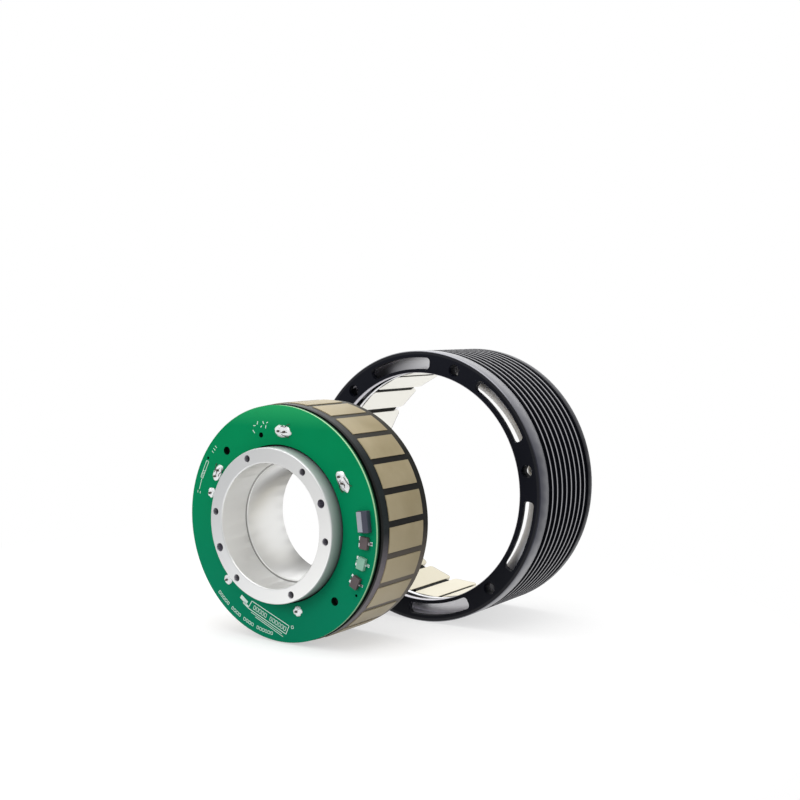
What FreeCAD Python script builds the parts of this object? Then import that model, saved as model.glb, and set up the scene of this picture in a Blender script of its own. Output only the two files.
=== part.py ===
import FreeCAD, Part
import Sketcher
import math
import os

# A frameless motor: a wound stator on an aluminium hub, and the outer rotor that runs round it.
# Each ring is modelled about its own axis, front face up, with its rear end at height zero.
# Its placement then turns the front towards -Y and stands both rings on one floor.

doc = FreeCAD.newDocument("frameless_motor")
sheet = doc.addObject("Spreadsheet::Sheet", "Sizes")

# Driving sizes in millimetres, angles in degrees from the right-hand side, anticlockwise
# when a ring is seen from its front.
DRIVING_SIZES = [
    ("stator_radius", "42.5", "outer radius of the tooth faces"),
    ("stack_length", "20.5", "length of the steel stack"),
    ("front_ring_length", "5.6", "cast ring between the stack and the board"),
    ("rear_ring_length", "3.5", "cast ring behind the stack"),
    ("board_thickness", "1.6", "thickness of the sensor board"),
    ("hub_stand_out", "5.7", "hub face in front of the board"),
    ("bearing_seat_depth", "13", "depth of the front bore"),
    ("bearing_shoulder", "0.6", "step behind the bearing"),
    ("hub_wall", "5.5", "hub wall outside the bearing seat"),
    ("stack_seat_step", "0.7", "step against which the stack is pressed"),
    ("edge_chamfer", "0.4", "chamfer on the machined edges"),
    ("hub_hole_edge", "2.5", "tapped and dowel holes inside the rim of the hub"),
    ("hub_bolt_count", "6", "tapped holes"),
    ("hub_bolt_angle", "53", "angle of the first tapped hole"),
    ("tap_drill_diameter", "2.5", "core diameter for an M3 thread"),
    ("tap_depth", "8", "depth of the tapped holes"),
    ("dowel_angle", "23", "angle of the first dowel hole"),
    ("dowel_diameter", "3", "dowel holes"),
    ("dowel_depth", "6", "depth of the dowel holes"),
    ("tooth_count", "24", "stator teeth"),
    ("slot_angle", "3.7", "angle of the first slot"),
    ("tooth_width", "5.2", "width of a tooth below its tip"),
    ("yoke_thickness", "5", "steel between the hub and the slots"),
    ("slot_depth", "8.2", "slot from its bottom to the slope of the tooth tips"),
    ("tip_thickness", "1.5", "thickness of a tooth tip at the slot opening"),
    ("tip_slope", "1", "extra thickness of the tip towards the tooth"),
    ("slot_opening", "2.3", "gap between two tooth tips"),
    ("insulator_thickness", "0.6", "end insulators on the stack"),
    ("insulator_cover", "0.8", "cast compound outside the end insulators"),
    ("liner_thickness", "0.25", "slot liners"),
    ("coil_end_length", "2.2", "end turn of a coil beyond the insulator"),
    ("coil_gap", "0.7", "gap between two coils in one slot"),
    ("coil_clearance", "0.5", "gap between a coil and the slot bottom or tooth tip"),
    ("cast_recess", "0.3", "cast compound below the tooth faces"),
    ("board_gap_height", "1", "height of the step under the edge of the board"),
    ("board_gap_depth", "1.3", "depth of the step under the edge of the board"),
    ("board_recess", "0.5", "edge of the board inside the tooth faces"),
    ("board_clearance", "0.6", "gap between the hub and the board"),
    ("board_hole_offset", "7.1", "board locating holes outside the hub"),
    ("board_hole_angle", "134.9", "angle of the first locating hole"),
    ("board_hole_diameter", "3", "board locating holes"),
    ("tooling_hole_offset", "4.6", "single tooling hole outside the hub"),
    ("tooling_hole_angle", "104.6", "angle of the single tooling hole"),
    ("tooling_hole_diameter", "1.9", "single tooling hole"),
    ("via_edge", "2.2", "two small holes inside the edge of the board"),
    ("via_angle", "147.6", "angle of the first small hole"),
    ("via_diameter", "1", "small holes"),
    ("lead_diameter", "0.8", "winding leads through the board"),
    ("lead_clearance", "0.1", "gap round a lead in the board"),
    ("lead_height", "1.6", "lead above the board"),
    ("last_lead_offset", "1.85", "last soldered lead inside the circle of the others"),
    ("lead_angle_first", "32.4", "angle of the first pair of leads"),
    ("lead_angle_second", "86.5", "angle of the second pair of leads"),
    ("lead_angle_third", "150.7", "angle of the third pair of leads"),
    ("lead_angle_fourth", "164.7", "angle of a single lead"),
    ("lead_angle_fifth", "223.1", "angle of a single lead"),
    ("lead_angle_last", "285.5", "angle of the last soldered lead"),
    ("solder_radius", "2", "ball radius of a solder dome"),
    ("solder_base_angle", "30", "latitude at which a dome meets the board"),
    ("solder_pitch", "2.6", "distance between the two domes of a long joint"),
    ("sensor_edge", "4.3", "middle of the sensors inside the edge of the board"),
    ("sensor_angle", "-4.4", "angle of the first sensor"),
    ("sensor_length", "4.2", "tangential length of a sensor"),
    ("sensor_width", "3", "radial width of a sensor"),
    ("sensor_height", "1.5", "height of a sensor"),
    ("sensor_leg_width", "0.6", "width of a sensor leg"),
    ("sensor_leg_length", "1.1", "leg beyond the sensor"),
    ("connector_angle", "6.6", "angle of the connector"),
    ("connector_length", "7.4", "tangential length of the connector"),
    ("connector_width", "4.6", "radial width of the connector"),
    ("connector_height", "2.2", "height of the connector"),
    ("air_gap", "0.8", "gap between the tooth faces and the magnets"),
    ("magnet_thickness", "3", "thickness of a magnet at its middle"),
    ("magnet_stop_length", "2", "lip at the front of the back iron, against which the magnets stand"),
    ("magnet_stop_step", "0.3", "bore of the lip outside the faces of the magnets"),
    ("magnet_rear_margin", "3.1", "rear of the magnets inside the rear end of the housing"),
    ("magnet_corner_radius", "1.5", "corners of a magnet, seen from the air gap"),
    ("magnet_gap", "2", "gap between two magnets at their inner faces"),
    ("magnet_angle", "12.5", "angle of the first gap between magnets"),
    ("pole_count", "22", "magnets"),
    ("iron_thickness", "3", "back iron ring"),
    ("iron_shoulder", "0.4", "step against which the back iron stops"),
    ("iron_recess", "0.4", "rear end of the back iron inside the housing"),
    ("housing_wall", "2.1", "housing wall outside the back iron"),
    ("rotor_length", "42.6", "length of the rotor housing"),
    ("flange_thickness", "2.2", "thickness of the front flange"),
    ("flange_clearance", "0.6", "flange bore outside the tooth faces"),
    ("land_length", "6.6", "plain band behind the flange"),
    ("groove_width", "2.6", "width of a cooling groove"),
    ("rear_band_length", "3.4", "plain band behind the last groove"),
    ("groove_depth", "1", "depth of the cooling grooves"),
    ("groove_count", "9", "cooling grooves"),
    ("window_inner_offset", "1.4", "window inner edge outside the flange bore"),
    ("window_angle", "41", "middle of the first window"),
    ("window_span", "33.1", "angle covered by a window"),
    ("window_corner_radius", "1.5", "corner radius of a window"),
    ("window_count", "6", "windows, and screw holes between them"),
    ("screw_hole_diameter", "4.5", "clearance holes for M4 screws"),
    ("screw_boss_radius", "3.4", "boss behind the flange round a screw hole"),
    ("screw_boss_height", "2.4", "height of a boss behind the flange"),
    ("rotor_offset", "22.8", "rotor axis to the right of the stator axis"),
    ("rotor_setback", "55", "rotor flange face behind the face of the board"),
]

row = 0
for name, number, note in DRIVING_SIZES:
    row += 1
    sheet.set("A%d" % row, name)
    sheet.set("B%d" % row, number)
    sheet.setAlias("B%d" % row, name)
    sheet.set("C%d" % row, note)
doc.recompute()


class Size:
    """A number together with the sheet expression that gives it."""

    def __init__(self, value, text):
        self.value = value
        self.text = text

    def __add__(self, other):
        other = as_size(other)
        return Size(self.value + other.value, "(%s + %s)" % (self.text, other.text))

    def __sub__(self, other):
        other = as_size(other)
        return Size(self.value - other.value, "(%s - %s)" % (self.text, other.text))

    def __mul__(self, other):
        other = as_size(other)
        return Size(self.value * other.value, "(%s * %s)" % (self.text, other.text))

    def __truediv__(self, other):
        other = as_size(other)
        return Size(self.value / other.value, "(%s / %s)" % (self.text, other.text))

    def cosine(self):
        return Size(math.cos(math.radians(self.value)), "cos(%s * 1 deg)" % self.text)

    def sine(self):
        return Size(math.sin(math.radians(self.value)), "sin(%s * 1 deg)" % self.text)

    def tangent(self):
        return Size(math.tan(math.radians(self.value)), "tan(%s * 1 deg)" % self.text)


def as_size(value):
    if isinstance(value, Size):
        return value
    return Size(float(value), "%g" % value)


def read(name):
    return Size(float(sheet.get(name)), "Sizes.%s" % name)


# Heights of the stator, from its rear end to the face of the hub.
stator_radius = read("stator_radius")
stack_bottom = read("rear_ring_length")
stack_top = stack_bottom + read("stack_length")
board_bottom = stack_top + read("front_ring_length")
board_top = board_bottom + read("board_thickness")
hub_top = board_top + read("hub_stand_out")
chamfer = read("edge_chamfer")

# Radii of the stator, from the tooth faces inwards.
tip_inner = stator_radius - read("tip_thickness")
shoulder = tip_inner - read("tip_slope")
yoke_radius = shoulder - read("slot_depth")
hub_seat = yoke_radius - read("yoke_thickness")
hub_radius = hub_seat + read("stack_seat_step")
seat_bore = hub_radius - read("hub_wall")
rear_bore = seat_bore - read("bearing_shoulder")
coil_inner = yoke_radius + read("liner_thickness") + read("coil_clearance")
coil_outer = shoulder - read("coil_clearance")
board_radius = stator_radius - read("board_recess")
half_tooth_angle = as_size(180) / read("tooth_count")

# Radii and heights of the rotor, from the air gap outwards and from the rear end to the flange.
flange_bore = stator_radius + read("flange_clearance")
magnet_face = stator_radius + read("air_gap")
iron_bore = magnet_face + read("magnet_thickness")
iron_radius = iron_bore + read("iron_thickness")
cavity_radius = iron_radius - read("iron_shoulder")
rotor_radius = iron_radius + read("housing_wall")
window_inner = flange_bore + read("window_inner_offset")
window_middle = (window_inner + cavity_radius) / 2
rotor_top = read("rotor_length")
flange_bottom = rotor_top - read("flange_thickness")
iron_top = rotor_top - read("land_length")
magnet_top = iron_top - read("magnet_stop_length")
magnet_bottom = read("magnet_rear_margin")

# How far a cutting shape reaches past the surface that it cuts.
overshoot = as_size(1)

parts = []


def stand(item, on_rotor):
    """Turn a ring's front towards -Y and put it on the common floor."""
    turn = FreeCAD.Rotation(FreeCAD.Vector(1, 0, 0), 90)
    item.Placement = FreeCAD.Placement(FreeCAD.Vector(0, board_top.value, 0), turn)
    if on_rotor:
        item.setExpression("Placement.Base.x", read("rotor_offset").text)
        item.setExpression("Placement.Base.y", (read("rotor_setback") + rotor_top).text)
        item.setExpression("Placement.Base.z", (rotor_radius - stator_radius).text)
    else:
        item.setExpression("Placement.Base.y", board_top.text)


def keep(item, label):
    item.Label = label
    parts.append(item)


def new_body(label, on_rotor=False, kept=True):
    body = doc.addObject("PartDesign::Body", "body_" + label)
    stand(body, on_rotor)
    if kept:
        keep(body, label)
    return body


def origin_feature(body, role):
    for feature in body.Origin.OriginFeatures:
        if feature.Role == role:
            return feature


def new_sketch(body, name, role="XY_Plane", lift=None, turn=None):
    sketch = body.newObject("Sketcher::SketchObject", name)
    sketch.AttachmentSupport = (origin_feature(body, role), [""])
    sketch.MapMode = "FlatFace"
    lift = as_size(0) if lift is None else lift
    angle = 0 if turn is None else turn.value
    spin = FreeCAD.Rotation(FreeCAD.Vector(0, 0, 1), angle)
    sketch.AttachmentOffset = FreeCAD.Placement(FreeCAD.Vector(0, 0, lift.value), spin)
    sketch.setExpression("AttachmentOffset.Base.z", lift.text)
    if turn is not None:
        sketch.setExpression("AttachmentOffset.Rotation.Angle", turn.text)
    return sketch


def bound(sketch, size, *where):
    """Add a dimension whose value follows the sheet."""
    index = sketch.addConstraint(Sketcher.Constraint(*where, size.value))
    sketch.setExpression("Constraints[%d]" % index, size.text)


def fix_point(sketch, line, end, across, up):
    """Hold the end of a line at a distance across and up from the sketch origin."""
    if across.value == 0:
        sketch.addConstraint(Sketcher.Constraint("PointOnObject", line, end, -2))
    else:
        bound(sketch, across, "DistanceX", -1, 1, line, end)
    if up.value == 0:
        sketch.addConstraint(Sketcher.Constraint("PointOnObject", line, end, -1))
    else:
        bound(sketch, up, "DistanceY", -1, 1, line, end)


def draw_loop(sketch, points):
    """Draw a closed chain of lines through plain number pairs and join its corners."""
    count = len(points)
    for index in range(count):
        start = FreeCAD.Vector(points[index][0], points[index][1], 0)
        finish = points[(index + 1) % count]
        sketch.addGeometry(Part.LineSegment(start, FreeCAD.Vector(finish[0], finish[1], 0)))
    for index in range(count):
        sketch.addConstraint(Sketcher.Constraint("Coincident", index, 2, (index + 1) % count, 1))


def draw_profile(sketch, points):
    """Draw a closed outline whose every corner is dimensioned from the sheet."""
    points = [(as_size(across), as_size(up)) for across, up in points]
    draw_loop(sketch, [(across.value, up.value) for across, up in points])
    for index, (across, up) in enumerate(points):
        fix_point(sketch, index, 1, across, up)


def revolve(body, name, points):
    sketch = new_sketch(body, name + "_outline", "XZ_Plane")
    draw_profile(sketch, points)
    feature = body.newObject("PartDesign::Revolution", name)
    feature.Profile = sketch
    feature.ReferenceAxis = (sketch, ["V_Axis"])
    feature.Angle = 360
    doc.recompute()
    return feature


def pad(body, sketch, name, length):
    feature = body.newObject("PartDesign::Pad", name)
    feature.Profile = sketch
    feature.Length = length.value
    feature.setExpression("Length", length.text)
    doc.recompute()
    return feature


def pocket(body, sketch, name, depth):
    feature = body.newObject("PartDesign::Pocket", name)
    feature.Profile = sketch
    feature.Length = depth.value
    feature.setExpression("Length", depth.text)
    before = feature.BaseFeature.Shape.Volume
    doc.recompute()
    if feature.Shape.Volume >= before:
        raise ValueError(name + " removes nothing")
    return feature


def repeat_round(body, feature, name, count):
    pattern = body.newObject("PartDesign::PolarPattern", name)
    pattern.Originals = [feature]
    pattern.Axis = (origin_feature(body, "Z_Axis"), [""])
    pattern.Angle = 360
    pattern.Occurrences = int(count.value)
    pattern.setExpression("Occurrences", count.text)
    body.Tip = pattern
    doc.recompute()
    return pattern


def circle_sketch(body, name, lift, radius, distance=None, turn=None):
    """A circle of a radius, at a distance from the axis in the direction of an angle."""
    sketch = new_sketch(body, name, "XY_Plane", lift, turn)
    across = 0 if distance is None else distance.value
    centre = FreeCAD.Vector(across, 0, 0)
    sketch.addGeometry(Part.Circle(centre, FreeCAD.Vector(0, 0, 1), radius.value))
    if distance is None:
        sketch.addConstraint(Sketcher.Constraint("Coincident", 0, 3, -1, 1))
    else:
        sketch.addConstraint(Sketcher.Constraint("PointOnObject", 0, 3, -1))
        bound(sketch, distance, "DistanceX", -1, 1, 0, 3)
    bound(sketch, radius, "Radius", 0)
    return sketch


def annulus(label, bottom, length, inner, outer, on_rotor=False):
    body = new_body(label, on_rotor)
    sketch = circle_sketch(body, label + "_outline", bottom, outer)
    sketch.addGeometry(Part.Circle(FreeCAD.Vector(0, 0, 0), FreeCAD.Vector(0, 0, 1), inner.value))
    sketch.addConstraint(Sketcher.Constraint("Coincident", 1, 3, -1, 1))
    bound(sketch, inner, "Radius", 1)
    pad(body, sketch, label + "_ring", length)
    return body


def rectangle_sketch(body, name, lift, near, far, width, turn):
    """A rectangle from near to far along the direction of an angle, centred across it."""
    sketch = new_sketch(body, name, "XY_Plane", lift, turn)
    half = width.value / 2
    draw_loop(sketch, [(near.value, -half), (far.value, -half), (far.value, half), (near.value, half)])
    sketch.addConstraint(Sketcher.Constraint("Symmetric", 0, 1, 2, 2, -1))
    sketch.addConstraint(Sketcher.Constraint("Symmetric", 0, 2, 2, 1, -1))
    bound(sketch, near, "DistanceX", -1, 1, 0, 1)
    bound(sketch, far, "DistanceX", -1, 1, 0, 2)
    bound(sketch, width, "DistanceY", 1, 1, 1, 2)
    bound(sketch, width, "DistanceY", 0, 1, 2, 2)
    return sketch


def side_height(across, offset):
    """Height above the slot's middle of a line beside the tooth, at a distance out."""
    angle = math.radians(half_tooth_angle.value)
    return across * math.tan(angle) - offset / math.cos(angle)


def slant(sketch, line, offset):
    """Keep a line parallel to the neighbouring tooth or slot, at an offset from its middle."""
    index = sketch.addConstraint(Sketcher.Constraint("Angle", -1, 1, line, 1,
                                                     math.radians(half_tooth_angle.value)))
    sketch.setExpression("Constraints[%d]" % index, half_tooth_angle.text + " * 1 deg")
    bound(sketch, offset, "Distance", -1, 1, line)


# The hub carries the bearing and the stack, and is bolted to the machine by its face.
hub = new_body("stator_hub")
seat_bottom = hub_top - read("bearing_seat_depth")
revolve(hub, "hub_turning", [
    (rear_bore, stack_bottom),
    (hub_seat - chamfer, stack_bottom),
    (hub_seat, stack_bottom + chamfer),
    (hub_seat, stack_top),
    (hub_radius, stack_top),
    (hub_radius, hub_top - chamfer),
    (hub_radius - chamfer, hub_top),
    (seat_bore + chamfer, hub_top),
    (seat_bore, hub_top - chamfer),
    (seat_bore, seat_bottom),
    (rear_bore + chamfer, seat_bottom),
    (rear_bore, seat_bottom - chamfer),
])


def drill(body, name, turn, diameter, depth, count):
    sketch = circle_sketch(body, name + "_centre", hub_top, diameter / 2,
                           hub_radius - read("hub_hole_edge"), turn)
    doc.recompute()
    hole = body.newObject("PartDesign::Hole", name)
    hole.Profile = sketch
    hole.Diameter = diameter.value
    hole.Depth = depth.value
    hole.DepthType = "Dimension"
    hole.DrillPoint = "Angled"
    hole.DrillPointAngle = 118
    hole.setExpression("Diameter", diameter.text)
    hole.setExpression("Depth", depth.text)
    doc.recompute()
    repeat_round(body, hole, name + "_circle", count)


drill(hub, "tapped_hole", read("hub_bolt_angle"), read("tap_drill_diameter"), read("tap_depth"),
      read("hub_bolt_count"))
drill(hub, "dowel_hole", read("dowel_angle"), read("dowel_diameter"), read("dowel_depth"), as_size(2))

# The stack and its two end insulators share one toothed outline.
half_tooth = read("tooth_width") / 2
half_opening = read("slot_opening") / 2


def toothed_ring(label, bottom, length, inner, outer):
    body = annulus(label, bottom, length, inner, outer)
    sketch = new_sketch(body, label + "_slot_outline", "XY_Plane", bottom + length, read("slot_angle"))
    beyond = stator_radius + overshoot
    low = side_height(yoke_radius.value, half_tooth.value)
    high = side_height(shoulder.value, half_tooth.value)
    lip = half_opening.value
    draw_loop(sketch, [
        (yoke_radius.value, low), (shoulder.value, high), (tip_inner.value, lip), (beyond.value, lip),
        (beyond.value, -lip), (tip_inner.value, -lip), (shoulder.value, -high),
        (yoke_radius.value, -low)])
    for upper, lower in ((0, 7), (1, 6), (2, 5), (3, 4)):
        sketch.addConstraint(Sketcher.Constraint("Symmetric", upper, 1, lower, 1, -1))
    bound(sketch, yoke_radius, "DistanceX", -1, 1, 0, 1)
    slant(sketch, 0, half_tooth)
    bound(sketch, shoulder, "DistanceX", -1, 1, 1, 1)
    bound(sketch, tip_inner, "DistanceX", -1, 1, 2, 1)
    bound(sketch, beyond, "DistanceX", -1, 1, 3, 1)
    bound(sketch, half_opening, "DistanceY", -1, 1, 2, 1)
    bound(sketch, half_opening, "DistanceY", -1, 1, 3, 1)
    slot = pocket(body, sketch, label + "_slot", length)
    repeat_round(body, slot, label + "_slots", read("tooth_count"))
    return body


insulator = read("insulator_thickness")
insulator_radius = stator_radius - read("cast_recess") - read("insulator_cover")
insulator_bore = (hub_radius + yoke_radius) / 2
stack = toothed_ring("lamination_stack", stack_bottom, read("stack_length"), hub_seat, stator_radius)
front_insulator = toothed_ring("front_end_insulator", stack_top, insulator, insulator_bore,
                               insulator_radius)
rear_insulator = toothed_ring("rear_end_insulator", stack_bottom - insulator, insulator,
                              insulator_bore, insulator_radius)

# One slot liner is a thin U against the slot bottom and the two tooth sides.
liners = new_body("slot_liners")
liners.AllowCompound = True
liner = read("liner_thickness")
liner_sketch = new_sketch(liners, "liner_outline", "XY_Plane", stack_bottom, read("slot_angle"))
inner_start = yoke_radius + liner
liner_offset = half_tooth + liner
outer_low = side_height(yoke_radius.value, half_tooth.value)
outer_high = side_height(shoulder.value, half_tooth.value)
inner_low = side_height(inner_start.value, liner_offset.value)
inner_high = side_height(shoulder.value, liner_offset.value)
draw_loop(liner_sketch, [
    (yoke_radius.value, outer_low), (shoulder.value, outer_high), (shoulder.value, inner_high),
    (inner_start.value, inner_low), (inner_start.value, -inner_low), (shoulder.value, -inner_high),
    (shoulder.value, -outer_high), (yoke_radius.value, -outer_low)])
for upper, lower in ((0, 7), (1, 6), (2, 5), (3, 4)):
    liner_sketch.addConstraint(Sketcher.Constraint("Symmetric", upper, 1, lower, 1, -1))
bound(liner_sketch, yoke_radius, "DistanceX", -1, 1, 0, 1)
slant(liner_sketch, 0, half_tooth)
bound(liner_sketch, shoulder, "DistanceX", -1, 1, 1, 1)
bound(liner_sketch, shoulder, "DistanceX", -1, 1, 2, 1)
bound(liner_sketch, inner_start, "DistanceX", -1, 1, 3, 1)
bound(liner_sketch, Size(inner_low, (inner_start * half_tooth_angle.tangent()
                                     - liner_offset / half_tooth_angle.cosine()).text),
      "DistanceY", -1, 1, 3, 1)
bound(liner_sketch, Size(inner_high, (shoulder * half_tooth_angle.tangent()
                                      - liner_offset / half_tooth_angle.cosine()).text),
      "DistanceY", -1, 1, 2, 1)
liner_pad = pad(liners, liner_sketch, "liner", read("stack_length"))
repeat_round(liners, liner_pad, "all_liners", read("tooth_count"))

# One coil fills half of the slot on each side of its tooth and passes over both insulators.
coil_block = new_body("coil_block", kept=False)
coil_bottom = stack_bottom - insulator - read("coil_end_length")
coil_top = stack_top + insulator + read("coil_end_length")
half_gap = read("coil_gap") / 2
coil_low = coil_inner * half_tooth_angle.tangent() - half_gap / half_tooth_angle.cosine()
coil_high = coil_outer * half_tooth_angle.tangent() - half_gap / half_tooth_angle.cosine()
coil_sketch = new_sketch(coil_block, "coil_outline", "XY_Plane", coil_bottom)
draw_loop(coil_sketch, [
    (coil_inner.value, -coil_low.value), (coil_outer.value, -coil_high.value),
    (coil_outer.value, coil_high.value), (coil_inner.value, coil_low.value)])
coil_sketch.addConstraint(Sketcher.Constraint("Symmetric", 0, 1, 2, 2, -1))
coil_sketch.addConstraint(Sketcher.Constraint("Symmetric", 0, 2, 2, 1, -1))
bound(coil_sketch, coil_inner, "DistanceX", -1, 1, 2, 2)
bound(coil_sketch, coil_outer, "DistanceX", -1, 1, 2, 1)
bound(coil_sketch, coil_low, "DistanceY", -1, 1, 2, 2)
bound(coil_sketch, coil_high, "DistanceY", -1, 1, 2, 1)
pad(coil_block, coil_sketch, "coil_winding", coil_top - coil_bottom)
core = doc.addObject("Part::Box", "coil_core")
core_bottom = stack_bottom - insulator
core_height = stack_top + insulator - core_bottom
core_width = read("tooth_width") + liner * 2
core.setExpression("Length", (coil_outer - coil_inner + overshoot * 2).text)
core.setExpression("Width", core_width.text)
core.setExpression("Height", core_height.text)
core.Placement = FreeCAD.Placement(FreeCAD.Vector(0, 0, 0), FreeCAD.Rotation(FreeCAD.Vector(1, 0, 0), 90))
core.setExpression("Placement.Base.x", (coil_inner - overshoot).text)
core.setExpression("Placement.Base.y", (board_top - core_bottom).text)
core.setExpression("Placement.Base.z", (as_size(0) - core_width / 2).text)
coil = doc.addObject("Part::Cut", "coil")
coil.Base = coil_block
coil.Tool = core
doc.recompute()


def winding(label, first_tooth):
    """Eight coils on four pairs of neighbouring teeth, joined in series as one phase."""
    teeth = int(read("tooth_count").value)
    pitch = 360.0 / teeth
    coils = []
    for tooth in range(teeth):
        if tooth % 6 in (first_tooth, first_tooth + 1):
            shape = coil.Shape.copy()
            angle = read("slot_angle").value + pitch * (tooth + 0.5)
            shape.rotate(FreeCAD.Vector(0, 0, 0), FreeCAD.Vector(0, -1, 0), angle)
            coils.append(shape)
    item = doc.addObject("Part::Feature", label)
    item.Shape = Part.makeCompound(coils)
    keep(item, label)
    return item


windings = [winding("winding_phase_u", 0), winding("winding_phase_v", 2), winding("winding_phase_w", 4)]

# The leads stand on the coils, come up through the board and are soldered there, some of them in pairs.
LEADS = ["first", "second", "third", "fourth", "fifth", "last"]
PAIRED_LEADS = ["first", "second", "third"]
lead_radius = read("lead_diameter") / 2
lead_circle = coil_inner + lead_radius
solder_radius = read("solder_radius")
solder_base = read("solder_base_angle")


def round_pin(name, angle, distance, bottom, length, radius):
    pin = doc.addObject("Part::Cylinder", name)
    pin.setExpression("Radius", radius.text)
    pin.setExpression("Height", length.text)
    pin.Placement = FreeCAD.Placement(FreeCAD.Vector(0, 0, 0), FreeCAD.Rotation(FreeCAD.Vector(1, 0, 0), 90))
    pin.setExpression("Placement.Base.x", (distance * angle.cosine()).text)
    pin.setExpression("Placement.Base.y", (board_top - bottom).text)
    pin.setExpression("Placement.Base.z", (distance * angle.sine()).text)
    return pin


def solder_dome(name, angle, distance):
    dome = doc.addObject("Part::Sphere", name)
    dome.Angle1 = solder_base.value
    dome.setExpression("Angle1", solder_base.text)
    dome.setExpression("Radius", solder_radius.text)
    dome.Placement = FreeCAD.Placement(FreeCAD.Vector(0, 0, 0), FreeCAD.Rotation(FreeCAD.Vector(1, 0, 0), 90))
    dome.setExpression("Placement.Base.x", (distance * angle.cosine()).text)
    dome.setExpression("Placement.Base.y", (solder_radius * solder_base.sine()).text)
    dome.setExpression("Placement.Base.z", (distance * angle.sine()).text)
    return dome


leads = []
domes = []
lead_holes = []
for order in LEADS:
    angle = read("lead_angle_" + order)
    distance = lead_circle - read("last_lead_offset") if order == "last" else lead_circle
    swing = read("solder_pitch") / distance * (90 / math.pi)
    for side in ((-1, 1) if order in PAIRED_LEADS else (0,)):
        place = angle + swing * side
        tag = "%s_%d" % (order, side + 1)
        domes.append(solder_dome("dome_" + tag, place, distance))
        leads.append(round_pin("lead_" + tag, place, distance, coil_top,
                               board_top + read("lead_height") - coil_top, lead_radius))
        lead_holes.append(round_pin("lead_hole_" + tag, place, distance, board_bottom - overshoot,
                                    read("board_thickness") + overshoot * 2,
                                    lead_radius + read("lead_clearance")))
winding_leads = doc.addObject("Part::Compound", "winding_leads")
winding_leads.Links = leads
keep(winding_leads, "winding_leads")
dome_set = doc.addObject("Part::MultiFuse", "dome_set")
dome_set.Shapes = domes
solder_joints = doc.addObject("Part::Cut", "solder_joints")
solder_joints.Base = dome_set
solder_joints.Tool = winding_leads
keep(solder_joints, "solder_joints")
doc.recompute()

# The cast compound locks the windings and leaves a shadow gap under the edge of the board.
cast_radius = stator_radius - read("cast_recess")
cast_inner = hub_radius + (yoke_radius - hub_radius) / 4
cast_block = new_body("cast_block", kept=False)
revolve(cast_block, "cast_turning", [
    (hub_radius, stack_top),
    (hub_radius, board_bottom),
    (cast_radius - read("board_gap_depth"), board_bottom),
    (cast_radius - read("board_gap_depth"), board_bottom - read("board_gap_height")),
    (cast_radius, board_bottom - read("board_gap_height")),
    (cast_radius, 0),
    (cast_inner, 0),
    (cast_inner, stack_top),
])
inside_cast = doc.addObject("Part::Compound", "inside_cast")
inside_cast.Links = [liners] + windings + [winding_leads]
cast_step = cast_block
for tool in (stack, front_insulator, rear_insulator, inside_cast):
    cut = doc.addObject("Part::Cut", "cast_less_" + tool.Name)
    cut.Base = cast_step
    cut.Tool = tool
    cast_step = cut
keep(cast_step, "cast_compound")
doc.recompute()

# The board has a clearance hole round the hub, two locating holes and three smaller ones.
board_blank = new_body("board_blank", kept=False)
board_sketch = circle_sketch(board_blank, "board_outline", board_bottom, board_radius)
board_bore = hub_radius + read("board_clearance")
board_sketch.addGeometry(Part.Circle(FreeCAD.Vector(0, 0, 0), FreeCAD.Vector(0, 0, 1), board_bore.value))
board_sketch.addConstraint(Sketcher.Constraint("Coincident", 1, 3, -1, 1))
bound(board_sketch, board_bore, "Radius", 1)
pad(board_blank, board_sketch, "board_plate", read("board_thickness"))
for name, distance, angle, diameter, count in (
        ("locating", hub_radius + read("board_hole_offset"), "board_hole_angle",
         "board_hole_diameter", 2),
        ("tooling", hub_radius + read("tooling_hole_offset"), "tooling_hole_angle",
         "tooling_hole_diameter", 1),
        ("via", board_radius - read("via_edge"), "via_angle", "via_diameter", 2)):
    hole_sketch = circle_sketch(board_blank, name + "_hole_outline", board_top, read(diameter) / 2,
                                distance, read(angle))
    hole = pocket(board_blank, hole_sketch, name + "_hole", read("board_thickness"))
    if count > 1:
        repeat_round(board_blank, hole, name + "_holes", as_size(count))
lead_hole_set = doc.addObject("Part::Compound", "lead_hole_set")
lead_hole_set.Links = lead_holes
board = doc.addObject("Part::Cut", "sensor_board")
board.Base = board_blank
board.Tool = lead_hole_set
keep(board, "sensor_board")

# Three Hall sensors stand a third of an electrical turn apart, and the connector beside them.
sensor_step = as_size(720) / read("pole_count") / 3
sensor_circle = board_radius - read("sensor_edge")
sensor_near = sensor_circle - read("sensor_width") / 2
sensor_far = sensor_near + read("sensor_width")
for number in range(3):
    label = "hall_sensor_%d" % (number + 1)
    sensor = new_body(label)
    turn = read("sensor_angle") - sensor_step * number
    leg = rectangle_sketch(sensor, label + "_legs_outline", board_top,
                           sensor_near - read("sensor_leg_length"), sensor_far + read("sensor_leg_length"),
                           read("sensor_leg_width"), turn)
    pad(sensor, leg, label + "_legs", read("sensor_height") / 3)
    case = rectangle_sketch(sensor, label + "_case_outline", board_top, sensor_near, sensor_far,
                            read("sensor_length"), turn)
    pad(sensor, case, label + "_case", read("sensor_height"))
connector = new_body("board_connector")
connector_near = sensor_circle - read("connector_width") / 2
connector_far = connector_near + read("connector_width")
connector_split = connector_near + read("connector_width") * 0.5
base = rectangle_sketch(connector, "connector_base_outline", board_top, connector_near, connector_far,
                        read("connector_length"), read("connector_angle"))
pad(connector, base, "connector_base", read("connector_height") / 2)
shell = rectangle_sketch(connector, "connector_shell_outline", board_top, connector_split, connector_far,
                         read("connector_length"), read("connector_angle"))
pad(connector, shell, "connector_shell", read("connector_height"))

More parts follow.
